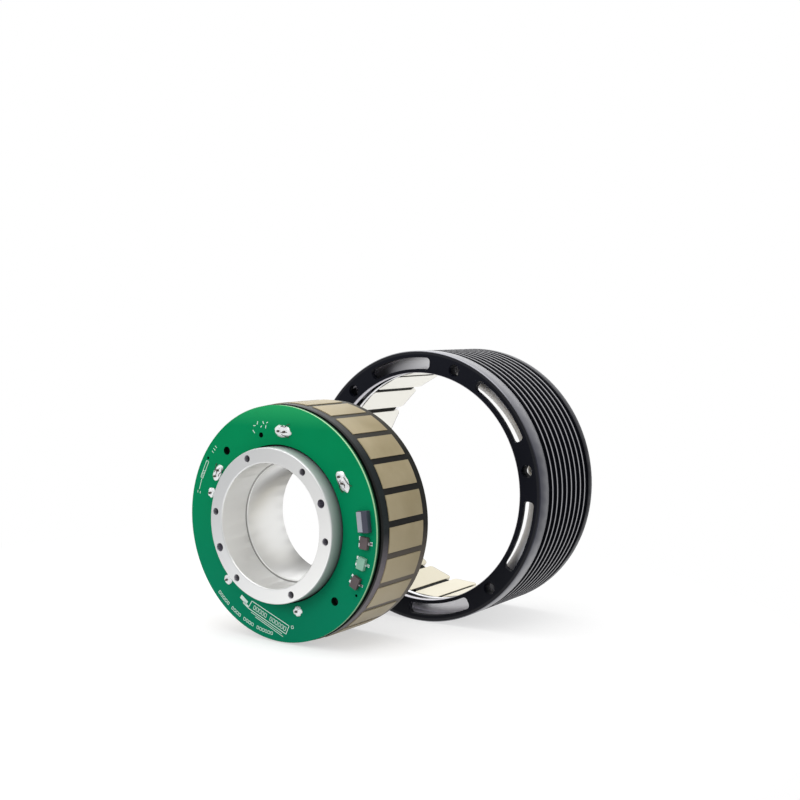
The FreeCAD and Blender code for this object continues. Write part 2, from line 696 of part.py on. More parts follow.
# The housing is a turned cup: a thin front flange, a plain band and a grooved cooling wall.
housing = new_body("rotor_housing", on_rotor=True)
revolve(housing, "housing_turning", [
    (iron_radius, 0),
    (rotor_radius - chamfer, 0),
    (rotor_radius, chamfer),
    (rotor_radius, rotor_top - chamfer),
    (rotor_radius - chamfer, rotor_top),
    (flange_bore, rotor_top),
    (flange_bore, flange_bottom),
    (cavity_radius, flange_bottom),
    (cavity_radius, iron_top),
    (iron_radius, iron_top),
])
groove_top = rotor_top - read("land_length")
groove_bottom = groove_top - read("groove_width")
groove_root = rotor_radius - read("groove_depth")
groove_sketch = new_sketch(housing, "groove_outline", "XZ_Plane")
draw_profile(groove_sketch, [
    (groove_root, groove_bottom), (rotor_radius + overshoot, groove_bottom),
    (rotor_radius + overshoot, groove_top), (groove_root, groove_top)])
groove = housing.newObject("PartDesign::Groove", "cooling_groove")
groove.Profile = groove_sketch
groove.ReferenceAxis = (groove_sketch, ["V_Axis"])
groove.Angle = 360
doc.recompute()
grooves = housing.newObject("PartDesign::LinearPattern", "cooling_grooves")
grooves.Originals = [groove]
grooves.Direction = (origin_feature(housing, "Z_Axis"), [""])
grooves.Reversed = True
groove_travel = groove_bottom - read("rear_band_length")
grooves.Length = groove_travel.value
grooves.setExpression("Length", groove_travel.text)
grooves.Occurrences = int(read("groove_count").value)
grooves.setExpression("Occurrences", read("groove_count").text)
housing.Tip = grooves
doc.recompute()

# One curved window between two screw holes, both repeated round the flange.
window_sketch = new_sketch(housing, "window_outline", "XY_Plane", rotor_top, read("window_angle"))
half_span = math.radians(read("window_span").value / 2)
origin = FreeCAD.Vector(0, 0, 0)
upright = FreeCAD.Vector(0, 0, 1)
inner_arc = Part.ArcOfCircle(Part.Circle(origin, upright, window_inner.value), -half_span, half_span)
outer_arc = Part.ArcOfCircle(Part.Circle(origin, upright, cavity_radius.value), -half_span, half_span)


def on_window(radius, side):
    return FreeCAD.Vector(radius * math.cos(half_span), radius * math.sin(half_span) * side, 0)


window_sketch.addGeometry(inner_arc)
window_sketch.addGeometry(outer_arc)
for side in (1, -1):
    window_sketch.addGeometry(Part.LineSegment(on_window(window_inner.value, side),
                                               on_window(cavity_radius.value, side)))
for arc, size in ((0, window_inner), (1, cavity_radius)):
    window_sketch.addConstraint(Sketcher.Constraint("Coincident", arc, 3, -1, 1))
    bound(window_sketch, size, "Radius", arc)
    window_sketch.addConstraint(Sketcher.Constraint("Coincident", 2, arc + 1, arc, 2))
    window_sketch.addConstraint(Sketcher.Constraint("Coincident", 3, arc + 1, arc, 1))
    window_sketch.addConstraint(Sketcher.Constraint("Symmetric", arc, 1, arc, 2, -1))
    half_chord = size * (read("window_span") / 2).sine() * 2
    bound(window_sketch, half_chord, "DistanceY", arc, 1, arc, 2)
window = pocket(housing, window_sketch, "window", read("flange_thickness"))
repeat_round(housing, window, "windows", read("window_count"))
screw_angle = read("window_angle") + as_size(180) / read("window_count")
boss_bottom = flange_bottom - read("screw_boss_height")
boss_sketch = circle_sketch(housing, "screw_boss_outline", boss_bottom, read("screw_boss_radius"),
                            window_middle, screw_angle)
screw_boss = pad(housing, boss_sketch, "screw_boss", read("screw_boss_height"))
repeat_round(housing, screw_boss, "screw_bosses", read("window_count"))
screw_sketch = circle_sketch(housing, "screw_hole_outline", rotor_top, read("screw_hole_diameter") / 2,
                             window_middle, screw_angle)
screw_hole = pocket(housing, screw_sketch, "screw_hole", rotor_top - boss_bottom)
screw_holes = repeat_round(housing, screw_hole, "screw_holes", read("window_count"))

# Round the window corners, found as the short upright edges at the two window radii.
corner_names = []
span = read("window_span").value / 2
for index, edge in enumerate(screw_holes.Shape.Edges):
    if len(edge.Vertexes) != 2 or abs(edge.Length - read("flange_thickness").value) > 0.01:
        continue
    middle = edge.CenterOfMass
    radius = math.hypot(middle.x, middle.y)
    angle = math.degrees(math.atan2(middle.y, middle.x)) - read("window_angle").value
    step = 360.0 / read("window_count").value
    from_middle = abs((angle + step / 2) % step - step / 2)
    at_radius = min(abs(radius - window_inner.value), abs(radius - cavity_radius.value)) < 0.01
    if at_radius and abs(from_middle - span) < 0.1:
        corner_names.append("Edge%d" % (index + 1))
corners = housing.newObject("PartDesign::Fillet", "window_corners")
corners.Base = (screw_holes, corner_names)
corners.Radius = read("window_corner_radius").value
corners.setExpression("Radius", read("window_corner_radius").text)
housing.Tip = corners
doc.recompute()

# The back iron stops against the shoulder. The magnets are bonded inside it, against its lip.
back_iron = new_body("back_iron_ring", on_rotor=True)
stop_bore = magnet_face + read("magnet_stop_step")
revolve(back_iron, "iron_turning", [
    (iron_bore, read("iron_recess")),
    (iron_radius, read("iron_recess")),
    (iron_radius, iron_top),
    (stop_bore, iron_top),
    (stop_bore, magnet_top),
    (iron_bore, magnet_top),
])
pole_step = as_size(360) / read("pole_count")
magnet_width = magnet_face * (pole_step / 2).tangent() * 2 - read("magnet_gap")
for number in range(int(read("pole_count").value)):
    label = "magnet_%02d" % (number + 1)
    magnet = new_body(label, on_rotor=True)
    turn = read("magnet_angle") + pole_step * (number + 0.5)
    sketch = new_sketch(magnet, label + "_outline", "XY_Plane", magnet_bottom, turn)
    half = magnet_width.value / 2
    reach = math.sqrt(iron_bore.value ** 2 - half ** 2)
    swing = math.asin(half / iron_bore.value)
    near = magnet_face.value
    sketch.addGeometry(Part.LineSegment(FreeCAD.Vector(near, half, 0), FreeCAD.Vector(near, -half, 0)))
    sketch.addGeometry(Part.LineSegment(FreeCAD.Vector(near, -half, 0), FreeCAD.Vector(reach, -half, 0)))
    sketch.addGeometry(Part.ArcOfCircle(Part.Circle(origin, upright, iron_bore.value), -swing, swing))
    sketch.addGeometry(Part.LineSegment(FreeCAD.Vector(reach, half, 0), FreeCAD.Vector(near, half, 0)))
    for first, first_end, second, second_end in ((0, 2, 1, 1), (1, 2, 2, 1), (2, 2, 3, 1), (3, 2, 0, 1)):
        sketch.addConstraint(Sketcher.Constraint("Coincident", first, first_end, second, second_end))
    sketch.addConstraint(Sketcher.Constraint("Coincident", 2, 3, -1, 1))
    bound(sketch, iron_bore, "Radius", 2)
    sketch.addConstraint(Sketcher.Constraint("Symmetric", 0, 1, 0, 2, -1))
    sketch.addConstraint(Sketcher.Constraint("Horizontal", 1))
    sketch.addConstraint(Sketcher.Constraint("Horizontal", 3))
    bound(sketch, magnet_face, "DistanceX", -1, 1, 0, 1)
    bound(sketch, magnet_width, "DistanceY", 0, 2, 0, 1)
    block = pad(magnet, sketch, label + "_block", magnet_top - magnet_bottom)
    rim_length = reach - near
    corner_names = ["Edge%d" % (index + 1) for index, edge in enumerate(block.Shape.Edges)
                    if abs(edge.Length - rim_length) < 0.01]
    corners = magnet.newObject("PartDesign::Fillet", label + "_corners")
    corners.Base = (block, corner_names)
    corners.Radius = read("magnet_corner_radius").value
    corners.setExpression("Radius", read("magnet_corner_radius").text)
    magnet.Tip = corners

doc.recompute()
for item in doc.Objects:
    if "Invalid" in item.State or "Error" in item.State:
        raise ValueError("%s did not build: %s" % (item.Name, item.State))
os.makedirs("parts", exist_ok=True)
for item in parts:
    if item.Shape.isNull() or not item.Shape.isValid():
        raise ValueError(item.Label + " has no valid shape")
    item.Shape.exportStep("parts/%s.step" % item.Label)
    print(item.Label, len(item.Shape.Solids), "solids", round(item.Shape.Volume), "mm3")
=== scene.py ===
# %% [markdown]
# # A frameless motor in two rings
# The motor is a pair. The stator ring in front carries the windings on an aluminium hub, with a green
# sensor board on its face. The rotor ring behind it is a black finned cup lined with flat magnets.
# The solids come from the imported model, and this lesson gives them their finish and fine detail.
# The first step loads them.

import math

import bpy
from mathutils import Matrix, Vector, noise

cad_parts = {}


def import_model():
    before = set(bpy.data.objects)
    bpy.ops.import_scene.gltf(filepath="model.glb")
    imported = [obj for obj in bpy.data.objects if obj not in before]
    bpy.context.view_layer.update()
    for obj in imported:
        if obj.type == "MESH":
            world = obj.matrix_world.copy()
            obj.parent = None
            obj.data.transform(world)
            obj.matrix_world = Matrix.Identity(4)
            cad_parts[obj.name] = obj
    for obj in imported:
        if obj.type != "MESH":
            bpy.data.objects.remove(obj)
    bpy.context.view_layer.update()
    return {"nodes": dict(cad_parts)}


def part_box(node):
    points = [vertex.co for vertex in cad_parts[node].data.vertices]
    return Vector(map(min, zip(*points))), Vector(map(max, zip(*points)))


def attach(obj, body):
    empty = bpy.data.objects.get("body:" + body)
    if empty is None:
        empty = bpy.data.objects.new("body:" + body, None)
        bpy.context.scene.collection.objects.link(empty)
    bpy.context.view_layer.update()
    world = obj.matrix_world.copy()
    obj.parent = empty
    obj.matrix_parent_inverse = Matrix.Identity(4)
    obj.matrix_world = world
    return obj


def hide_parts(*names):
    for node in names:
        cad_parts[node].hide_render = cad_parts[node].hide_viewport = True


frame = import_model()
nodes = frame["nodes"]

# %% [markdown]
# ## Sizes that the later steps share
# The scene is in metres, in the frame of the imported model. Both rings lie along Y with their fronts
# towards -Y.

# %% Read the places of the two rings
MM = 0.001


def radius_of(node):
    low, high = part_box(node)
    return (high.z - low.z) / 2


stator_axis = Vector((0, 0, 0))
rotor_low, rotor_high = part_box("rotor_housing")
rotor_axis = Vector(((rotor_low.x + rotor_high.x) / 2, 0, (rotor_low.z + rotor_high.z) / 2))
board_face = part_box("sensor_board")[0].y
board_radius = radius_of("sensor_board")
hub_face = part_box("stator_hub")[0].y
hub_radius = radius_of("stator_hub")
floor_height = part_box("lamination_stack")[0].z
print("rotor axis", tuple(round(v, 4) for v in rotor_axis), "floor", round(floor_height, 4))


def on_ring(axis, radius, degrees, y):
    """A point beside a ring's axis, with the angle counted from the right as seen from the front."""
    turn = math.radians(degrees)
    return Vector((axis.x + radius * math.cos(turn), y, axis.z + radius * math.sin(turn)))


# %% [markdown]
# ## The camera
# The photograph looks at both rings from the right and a little above. The place, the two angles and
# the focal length were fitted to the outlines of the rings, so the render has the same frame.

# %% Set up the camera
CAMERA_PLACE = Vector((0.27621, -0.32980, 0.07052))
CAMERA_YAW = 34.271
CAMERA_DIP = 3.577
CAMERA_LENS = 55.155

camera_data = bpy.data.cameras.new("camera")
camera_data.sensor_fit = "HORIZONTAL"
camera_data.sensor_width = 36
camera_data.lens = CAMERA_LENS
camera_data.clip_start = 0.01
camera = bpy.data.objects.new("camera", camera_data)
camera.location = CAMERA_PLACE
camera.rotation_euler = (math.radians(90 - CAMERA_DIP), 0, math.radians(CAMERA_YAW))
bpy.context.scene.collection.objects.link(camera)
bpy.context.scene.camera = camera
print("camera", CAMERA_LENS, "mm from", tuple(CAMERA_PLACE))

# %% [markdown]
# ## Small helpers for materials
# Colours are chosen as the eye reads them from a picture, 0 to 255, and turned into the linear values
# that the shader takes. A material starts as one Principled shader whose constant values sit on its
# own sockets. Only what changes over the surface comes in through a link, so every helper that feeds a
# socket takes either: it links another socket, and writes down a plain value.

# %% Helpers for colours and materials


def linear(red, green, blue):
    """A colour read from a picture, 0 to 255, in the linear values of a shader."""
    def one(value):
        share = value / 255
        return share / 12.92 if share <= 0.04045 else ((share + 0.055) / 1.055) ** 2.4
    return (one(red), one(green), one(blue), 1.0)


def feed(tree, socket, value):
    """Link a value that changes over the surface, or write a constant one."""
    if isinstance(value, bpy.types.NodeSocket):
        tree.links.new(value, socket)
    else:
        socket.default_value = value


def feed_all(tree, node, inputs):
    """Feed the inputs of a node by their names. An underscore stands for a space."""
    for name, value in inputs.items():
        feed(tree, node.inputs[name.replace("_", " ")], value)
    return node


def add_node(tree, kind, **inputs):
    return feed_all(tree, tree.nodes.new(kind), inputs)


def shader_of(material):
    return material.node_tree.nodes["Principled BSDF"]


def set_shader(material, **inputs):
    feed_all(material.node_tree, shader_of(material), inputs)


def new_material(name, colour, **inputs):
    material = bpy.data.materials.new(name)
    material.use_nodes = True
    set_shader(material, Base_Color=colour, **inputs)
    return material


# %% [markdown]
# ## Sums on a surface
# A finish changes from place to place: a crest is worn, a low edge is rubbed. A Math node works out
# one sum for every shaded point, so these helpers join such nodes into masks. A mask is 1 where
# something is and 0 elsewhere, with a narrow soft step between. Places are read from the object
# coordinates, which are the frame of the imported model, so a finish turns with its piece.

# %% Helpers for masks


def add_math(tree, operation, *values):
    node = tree.nodes.new("ShaderNodeMath")
    node.operation = operation
    for socket, value in zip(node.inputs, values):
        feed(tree, socket, value)
    return node.outputs[0]


def plus(tree, first, second):
    return add_math(tree, "ADD", first, second)


def minus(tree, first, second):
    return add_math(tree, "SUBTRACT", first, second)


def times(tree, first, second):
    return add_math(tree, "MULTIPLY", first, second)


def spread(tree, value, low, high, to_low=0.0, to_high=1.0):
    """Stretch a value from one range to another and hold it at both ends."""
    return add_node(tree, "ShaderNodeMapRange", Value=value, From_Min=low, From_Max=high,
                    To_Min=to_low, To_Max=to_high).outputs["Result"]


def past(tree, value, edge, softness):
    """1 where a value is past an edge and 0 before it, with a soft step between."""
    return spread(tree, value, edge - softness, edge + softness)


def before(tree, value, edge, softness):
    """1 where a value is before an edge and 0 past it."""
    return minus(tree, 1.0, past(tree, value, edge, softness))


def band(tree, value, low, high, softness):
    """1 between two edges and 0 outside them."""
    return times(tree, past(tree, value, low, softness), before(tree, value, high, softness))


def place_value(tree, axis, coordinates="Object"):
    """One coordinate, X, Y or Z, of the shaded point."""
    place = tree.nodes.new("ShaderNodeTexCoord")
    return add_node(tree, "ShaderNodeSeparateXYZ", Vector=place.outputs[coordinates]).outputs[axis]


def offsets_from(tree, x, z):
    """How far the shaded point lies to the right of an axis along Y, and how far above it."""
    return minus(tree, place_value(tree, "X"), x), minus(tree, place_value(tree, "Z"), z)


def length_of(tree, across, up):
    return add_math(tree, "SQRT", plus(tree, times(tree, across, across), times(tree, up, up)))


def distance_from(tree, axis):
    """Distance of the shaded point from the axis of a ring or a hole."""
    return length_of(tree, *offsets_from(tree, axis.x, axis.z))


# %% [markdown]
# ## Shared surface effects
# Three effects return on many finishes, so each is a node group with named inputs and outputs.
# `tool marks` draws the rings that a lathe leaves: it reads the distance from the ring's axis and the
# place along it, and feeds both into a one-dimensional noise. `fine grain` is the even roughness of a
# blasted, cast or moulded surface. `cloudy` is the slow change of tone that varnish, solder mask and
# handling leave. Each gives a height for bump and a tone for colour or roughness.

# %% Build the effect groups
TONE_SHARE = 0.31


def start_group(name, inputs):
    """A group with number inputs, and with a height and a tone as its outputs."""
    tree = bpy.data.node_groups.new(name, "ShaderNodeTree")
    for label, value in inputs.items():
        socket = tree.interface.new_socket(name=label, in_out="INPUT", socket_type="NodeSocketFloat")
        socket.default_value = value
    for label in ("Height", "Tone"):
        tree.interface.new_socket(name=label, in_out="OUTPUT", socket_type="NodeSocketFloat")
    return tree, tree.nodes.new("NodeGroupInput").outputs, tree.nodes.new("NodeGroupOutput").inputs


def build_tool_marks():
    tree, given, result = start_group("tool marks", {"Axis X": 0.0, "Axis Z": 0.0, "Pitch": 0.0002,
                                                     "Sweep": 1.0})
    across, up = offsets_from(tree, given["Axis X"], given["Axis Z"])
    distance = length_of(tree, across, up)
    rings = add_math(tree, "DIVIDE", plus(tree, distance, place_value(tree, "Y")), given["Pitch"])
    fan = times(tree, add_math(tree, "DIVIDE", across, distance), given["Sweep"])
    for output, value, detail in (("Height", rings, 2.0), ("Tone", fan, 3.0)):
        texture = tree.nodes.new("ShaderNodeTexNoise")
        texture.noise_dimensions = "1D"
        feed_all(tree, texture, {"W": value, "Scale": 1.0, "Detail": detail})
        feed(tree, result[output], texture.outputs["Fac"])
    return tree


def build_grain(name, scale, detail):
    tree, given, result = start_group(name, {"Scale": scale})
    place = tree.nodes.new("ShaderNodeTexCoord").outputs["Object"]
    for output, share in (("Height", 1.0), ("Tone", TONE_SHARE)):
        texture = add_node(tree, "ShaderNodeTexNoise", Vector=place, Detail=detail,
                           Scale=times(tree, given["Scale"], share))
        feed(tree, result[output], texture.outputs["Fac"])
    return tree


tool_marks = build_tool_marks()
fine_grain = build_grain("fine grain", 4000, 3.0)
cloudy = build_grain("cloudy", 120, 4.0)
print("effects:", tool_marks.name, fine_grain.name, cloudy.name)

# %% [markdown]
# ## Placing an effect in a material
# An effect enters a finish in three ways: its height goes through a Bump node, its tone moves the
# roughness a little up or down, and its tone mixes two near colours. Each has a short helper. A noise
# seldom leaves the middle of its range, so the tone is stretched first. A last helper lays one colour
# over another where a mask is 1, and layers of such colours make up a finish.

# %% Helpers that wire an effect
TONE_LOW = 0.3
TONE_HIGH = 0.7


def place_effect(material, group, **inputs):
    node = material.node_tree.nodes.new("ShaderNodeGroup")
    node.node_tree = group
    return feed_all(material.node_tree, node, inputs)


def bump_with(material, height, distance, strength):
    bump = add_node(material.node_tree, "ShaderNodeBump", Height=height, Distance=distance,
                    Strength=strength)
    set_shader(material, Normal=bump.outputs["Normal"])


def vary_roughness(material, effect, low, high):
    set_shader(material, Roughness=spread(material.node_tree, effect.outputs["Tone"],
                                          TONE_LOW, TONE_HIGH, low, high))


def over_colour(material, mask, below, above):
    """Lay one colour over another where a mask is 1, and give the mix to the shader."""
    mix = material.node_tree.nodes.new("ShaderNodeMix")
    mix.data_type = "RGBA"
    feed_all(material.node_tree, mix, {"Factor": mask, "A": below, "B": above})
    set_shader(material, Base_Color=mix.outputs["Result"])
    return mix.outputs["Result"]


def vary_colour(material, effect, first, second):
    """Mix two near colours by the tone of an effect."""
    tone = spread(material.node_tree, effect.outputs["Tone"], TONE_LOW, TONE_HIGH)
    return over_colour(material, tone, first, second)


# %% [markdown]
# ## The finish of the hub
# The hub is turned aluminium, bright and a little soft in its reflections. Its bore and the lower right
# of its face are painted brighter and the upper left greyer, as painted light. The outer side is dull,
# and painted shade darkens it towards the board. A thin painted shade line lies at the step of the bore
# behind the bearing seat. The walls of the two dowel holes and the threads are painted darker, as the
# shade of a deep narrow hole.

# %% Make the hub finish
SHARP = 0.00005
SOFT = 0.0001
BEARING_SEAT = 0.022
REAR_BORE = 0.0214
BORE_EDGE = BEARING_SEAT + 0.00015
SEAT_END = hub_face + 0.013
LINE_HALF = 0.0002
LINE_INNER = REAR_BORE + 0.0001
LINE_OUTER = BEARING_SEAT + 0.0002
SIDE_START = hub_radius - 0.0002
HOLES_START = hub_face + 0.0002
LIGHT_SLANT = 0.35
LIGHT_REACH = 0.028
PIN_CIRCLE = hub_radius - 0.0025
PIN_RADIUS = 0.00156
PIN_ANGLES = [23, 203]
SIDE_DULLNESS = 0.75


def make_hub_metal():
    material = new_material("turned_aluminium", linear(226, 226, 227), Metallic=1.0, Roughness=0.4)
    tree = material.node_tree
    marks = place_effect(material, tool_marks, Pitch=0.00016, Sweep=3.0)
    cloud = place_effect(material, cloudy, Scale=45.0)
    distance = distance_from(tree, stator_axis)
    depth = place_value(tree, "Y")
    # Painted light: the bore and the lower right of the face take brighter colours than the upper left.
    bright = vary_colour(material, cloud, linear(241, 241, 239), linear(247, 247, 246))
    light_slant = minus(tree, place_value(tree, "X"), times(tree, place_value(tree, "Z"), LIGHT_SLANT))
    painted_light = add_math(tree, "MAXIMUM", before(tree, distance, BORE_EDGE, SOFT),
                   past(tree, light_slant, 0.0, LIGHT_REACH))
    metal = over_colour(material, painted_light, linear(219, 220, 221), bright)
    # Painted shade: a thin dark line at the step of the bore behind the bearing seat.
    seat_shade_line = times(tree, band(tree, distance, LINE_INNER, LINE_OUTER, SHARP),
                      band(tree, depth, SEAT_END - LINE_HALF, SEAT_END + LINE_HALF, SHARP))
    metal = over_colour(material, seat_shade_line, metal, linear(158, 157, 155))
    # Painted shade: the outer side darkens towards the board.
    side = past(tree, distance, SIDE_START, SHARP)
    shade_to_board = past(tree, depth, hub_face / 2, -hub_face / 2)
    side_with_shade = over_colour(material, shade_to_board, linear(204, 206, 206), linear(118, 130, 128))
    metal = over_colour(material, side, metal, side_with_shade)
    # Painted shade: the walls of the dowel holes take a darker colour.
    for degrees in PIN_ANGLES:
        off_pin = distance_from(tree, on_ring(stator_axis, PIN_CIRCLE, degrees, 0))
        hole = times(tree, before(tree, off_pin, PIN_RADIUS, SHARP), past(tree, depth, HOLES_START, SOFT))
        metal = over_colour(material, hole, metal, linear(196, 194, 202))
    set_shader(material, Metallic=minus(tree, 1.0, times(tree, side, SIDE_DULLNESS)))
    vary_roughness(material, cloud, 0.38, 0.44)
    bump_with(material, marks.outputs["Height"], 0.000004, 0.4)
    return material


# Painted shade: the thread is coloured darker than the hub face.
def make_thread_metal():
    material = new_material("cut_thread", linear(140, 138, 146), Metallic=1.0, Roughness=0.5)
    grain = place_effect(material, fine_grain, Scale=2500.0)
    vary_colour(material, grain, linear(122, 120, 130), linear(156, 154, 160))
    vary_roughness(material, grain, 0.42, 0.58)
    bump_with(material, grain.outputs["Height"], 0.00001, 0.4)
    return material


hub_metal = make_hub_metal()
thread_metal = make_thread_metal()
print("made", hub_metal.name, thread_metal.name)

# %% [markdown]
# ## The finish of the teeth
# The tooth faces are steel sheets under a tan varnish, ground to size, so faint sheet lines cross them.
# They are far too fine to model, and a wave along the axis adds them to the bump. Low down the varnish
# is painted paler, as light thrown up from the floor.

# %% Make the tooth finish
BOUNCE_LIGHT_BELOW = -0.007
TEETH_FADE = 0.01
SHEET_WAVES = 314.0
SHEET_HEIGHT = 0.6


def make_tooth_varnish():
    material = new_material("varnished_teeth", linear(174, 161, 126), Metallic=0.15, Roughness=0.42)
    tree = material.node_tree
    cloud = place_effect(material, cloudy, Scale=220.0)
    grain = place_effect(material, fine_grain, Scale=2600.0)
    tan = vary_colour(material, cloud, linear(158, 144, 109), linear(177, 163, 131))
    # Painted light: the teeth are paler low down, where light comes up from the floor.
    painted_bounce = before(tree, place_value(tree, "Z"), BOUNCE_LIGHT_BELOW, TEETH_FADE)
    over_colour(material, painted_bounce, tan, linear(180, 166, 134))
    vary_roughness(material, cloud, 0.38, 0.5)
    sheets = tree.nodes.new("ShaderNodeTexWave")
    sheets.bands_direction = "Y"
    place = tree.nodes.new("ShaderNodeTexCoord").outputs["Object"]
    feed_all(tree, sheets, {"Scale": SHEET_WAVES, "Vector": place})
    lines = times(tree, sheets.outputs["Fac"], SHEET_HEIGHT)
    bump_with(material, plus(tree, lines, grain.outputs["Height"]), 0.000012, 0.6)
    return material


tooth_varnish = make_tooth_varnish()
print("made", tooth_varnish.name)

# %% [markdown]
# ## The finish of the cast resin
# Dark resin fills the slots and makes the two end rings. In the gap behind the board it is painted
# blackest, as painted shade; near the top it is painted greyer and low down paler like the teeth, as
# painted light. The front ring and the slots have slightly different tones, so both are worked out and
# one is laid over the other.

# %% Make the resin finish
RESIN_LIT_ABOVE = 0.033
RESIN_LIT_FADE = 0.008
RESIN_FADE = 0.007
GAP_SHADE_END = board_face + 0.0038
STACK_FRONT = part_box("lamination_stack")[0].y
RING_EDGE = 0.0003


def make_cast_resin():
    material = new_material("cast_resin", linear(44, 44, 41), Roughness=0.45, Specular_IOR_Level=0.11)
    tree = material.node_tree
    cloud = place_effect(material, cloudy, Scale=140.0)
    grain = place_effect(material, fine_grain, Scale=1500.0)
    depth = place_value(tree, "Y")
    # Painted light: the resin is paler low down, where light comes up from the floor.
    painted_bounce = before(tree, place_value(tree, "Z"), BOUNCE_LIGHT_BELOW, RESIN_FADE)
    # Painted light: near the top the resin is greyer.
    high = past(tree, place_value(tree, "Z"), RESIN_LIT_ABOVE, RESIN_LIT_FADE)
    dark = vary_colour(material, cloud, linear(19, 19, 17), linear(28, 27, 25))
    slots = over_colour(material, high, dark, linear(80, 78, 72))
    slots = over_colour(material, painted_bounce, slots, linear(112, 105, 97))
    ring = over_colour(material, high, linear(27, 34, 36), linear(78, 78, 78))
    ring = over_colour(material, painted_bounce, ring, linear(124, 118, 124))
    both = over_colour(material, band(tree, depth, GAP_SHADE_END, STACK_FRONT, RING_EDGE), slots, ring)
    # Painted shade: the resin in the gap behind the board is nearly black.
    over_colour(material, band(tree, depth, 0.0, GAP_SHADE_END, RING_EDGE), both, linear(12, 15, 13))
    vary_roughness(material, cloud, 0.38, 0.52)
    bump_with(material, grain.outputs["Height"], 0.00001, 0.6)
    return material


cast_resin = make_cast_resin()
print("made", cast_resin.name)

# %% [markdown]
# ## The finish of the board
# The board is fibreglass under a strong green mask. Low down it is painted a little bluer, as a painted
# reflection, and at the very top paler, as painted light. Its side faces are found by their normal:
# they are cut fibreglass, painted nearly black, and the rim painted dark green, as painted shade. The
# rim has a pale line along its front edge.

# %% Make the board finish
LOW_REFLECTION_REACH = 0.03
TOP_LIGHT_ABOVE = 0.039
TOP_LIGHT_FADE = 0.005
SIDE_BELOW = 0.5
RIM_START = board_radius - 0.0006
RIM_LINE_BACK = board_face + 0.0008


def make_board_mask():
    material = new_material("green_board", linear(0, 132, 84), Roughness=0.4, Specular_IOR_Level=0.04)
    tree = material.node_tree
    cloud = place_effect(material, cloudy, Scale=150.0)
    grain = place_effect(material, fine_grain, Scale=3500.0)
    height = place_value(tree, "Z")
    green = vary_colour(material, cloud, linear(0, 131, 80), linear(0, 137, 85))
    # Painted reflection: low down the green is bluer.
    green = over_colour(material, past(tree, height, 0.0, LOW_REFLECTION_REACH), linear(4, 126, 92), green)
    # Painted light: the very top is paler.
    lit_board_top = past(tree, height, TOP_LIGHT_ABOVE, TOP_LIGHT_FADE)
    green = over_colour(material, lit_board_top, green, linear(44, 170, 102))
    facing = add_math(tree, "ABSOLUTE", place_value(tree, "Y", "Normal"))
    side = add_math(tree, "LESS_THAN", facing, SIDE_BELOW)
    rim = times(tree, side, past(tree, distance_from(tree, stator_axis), RIM_START, SOFT))
    rim_line = times(tree, rim, before(tree, place_value(tree, "Y"), RIM_LINE_BACK, SOFT))
    # Painted shade: the side faces are nearly black and the rim is dark green.
    shaded_sides = over_colour(material, side, green, linear(16, 40, 26))
    shaded_sides = over_colour(material, rim, shaded_sides, linear(18, 74, 48))
    over_colour(material, rim_line, shaded_sides, linear(172, 222, 172))
    vary_roughness(material, cloud, 0.34, 0.46)
    bump_with(material, grain.outputs["Height"], 0.000006, 0.4)
    return material


board_mask = make_board_mask()
print("made", board_mask.name)

# %% [markdown]
# ## The finish of the rotor housing
# Black anodising is dark and slightly blue. On the front face it is blasted and reflects little. The
# band behind the face is turned and smoother, so it has a thin coat. It and the fins are painted greyer
# towards the top and the bottom, as a painted reflection, and each narrow fin has a painted highlight
# along its crest. The inside was turned after anodising, so that the back iron fits, and is bare. All
# these places are found by their distance from the axis, their depth behind the face and their height
# above or below the axis.

# %% Make the housing finish
rotor_radius = radius_of("rotor_housing")
FIN_TIPS = rotor_radius - 0.0003
FLANGE_EDGE = rotor_radius - 0.0013
CAVITY_OUTER = rotor_radius - 0.0016
CAVITY_WALL = 0.0487
FLANGE_BORE = 0.0431
FLANGE_BACK = 0.0023
ROUNDED = 0.00012
GROOVES_START = 0.0066
GROOVES_END = 0.0392
GROOVE_PITCH = 0.00375
GROOVE_SHIFT = 0.0013
CREST_HALF = 0.06
CREST_FADE = 0.02
MIDDLE_HALF = 0.03
MIDDLE_FADE = 0.016
BAND_COAT = 0.4


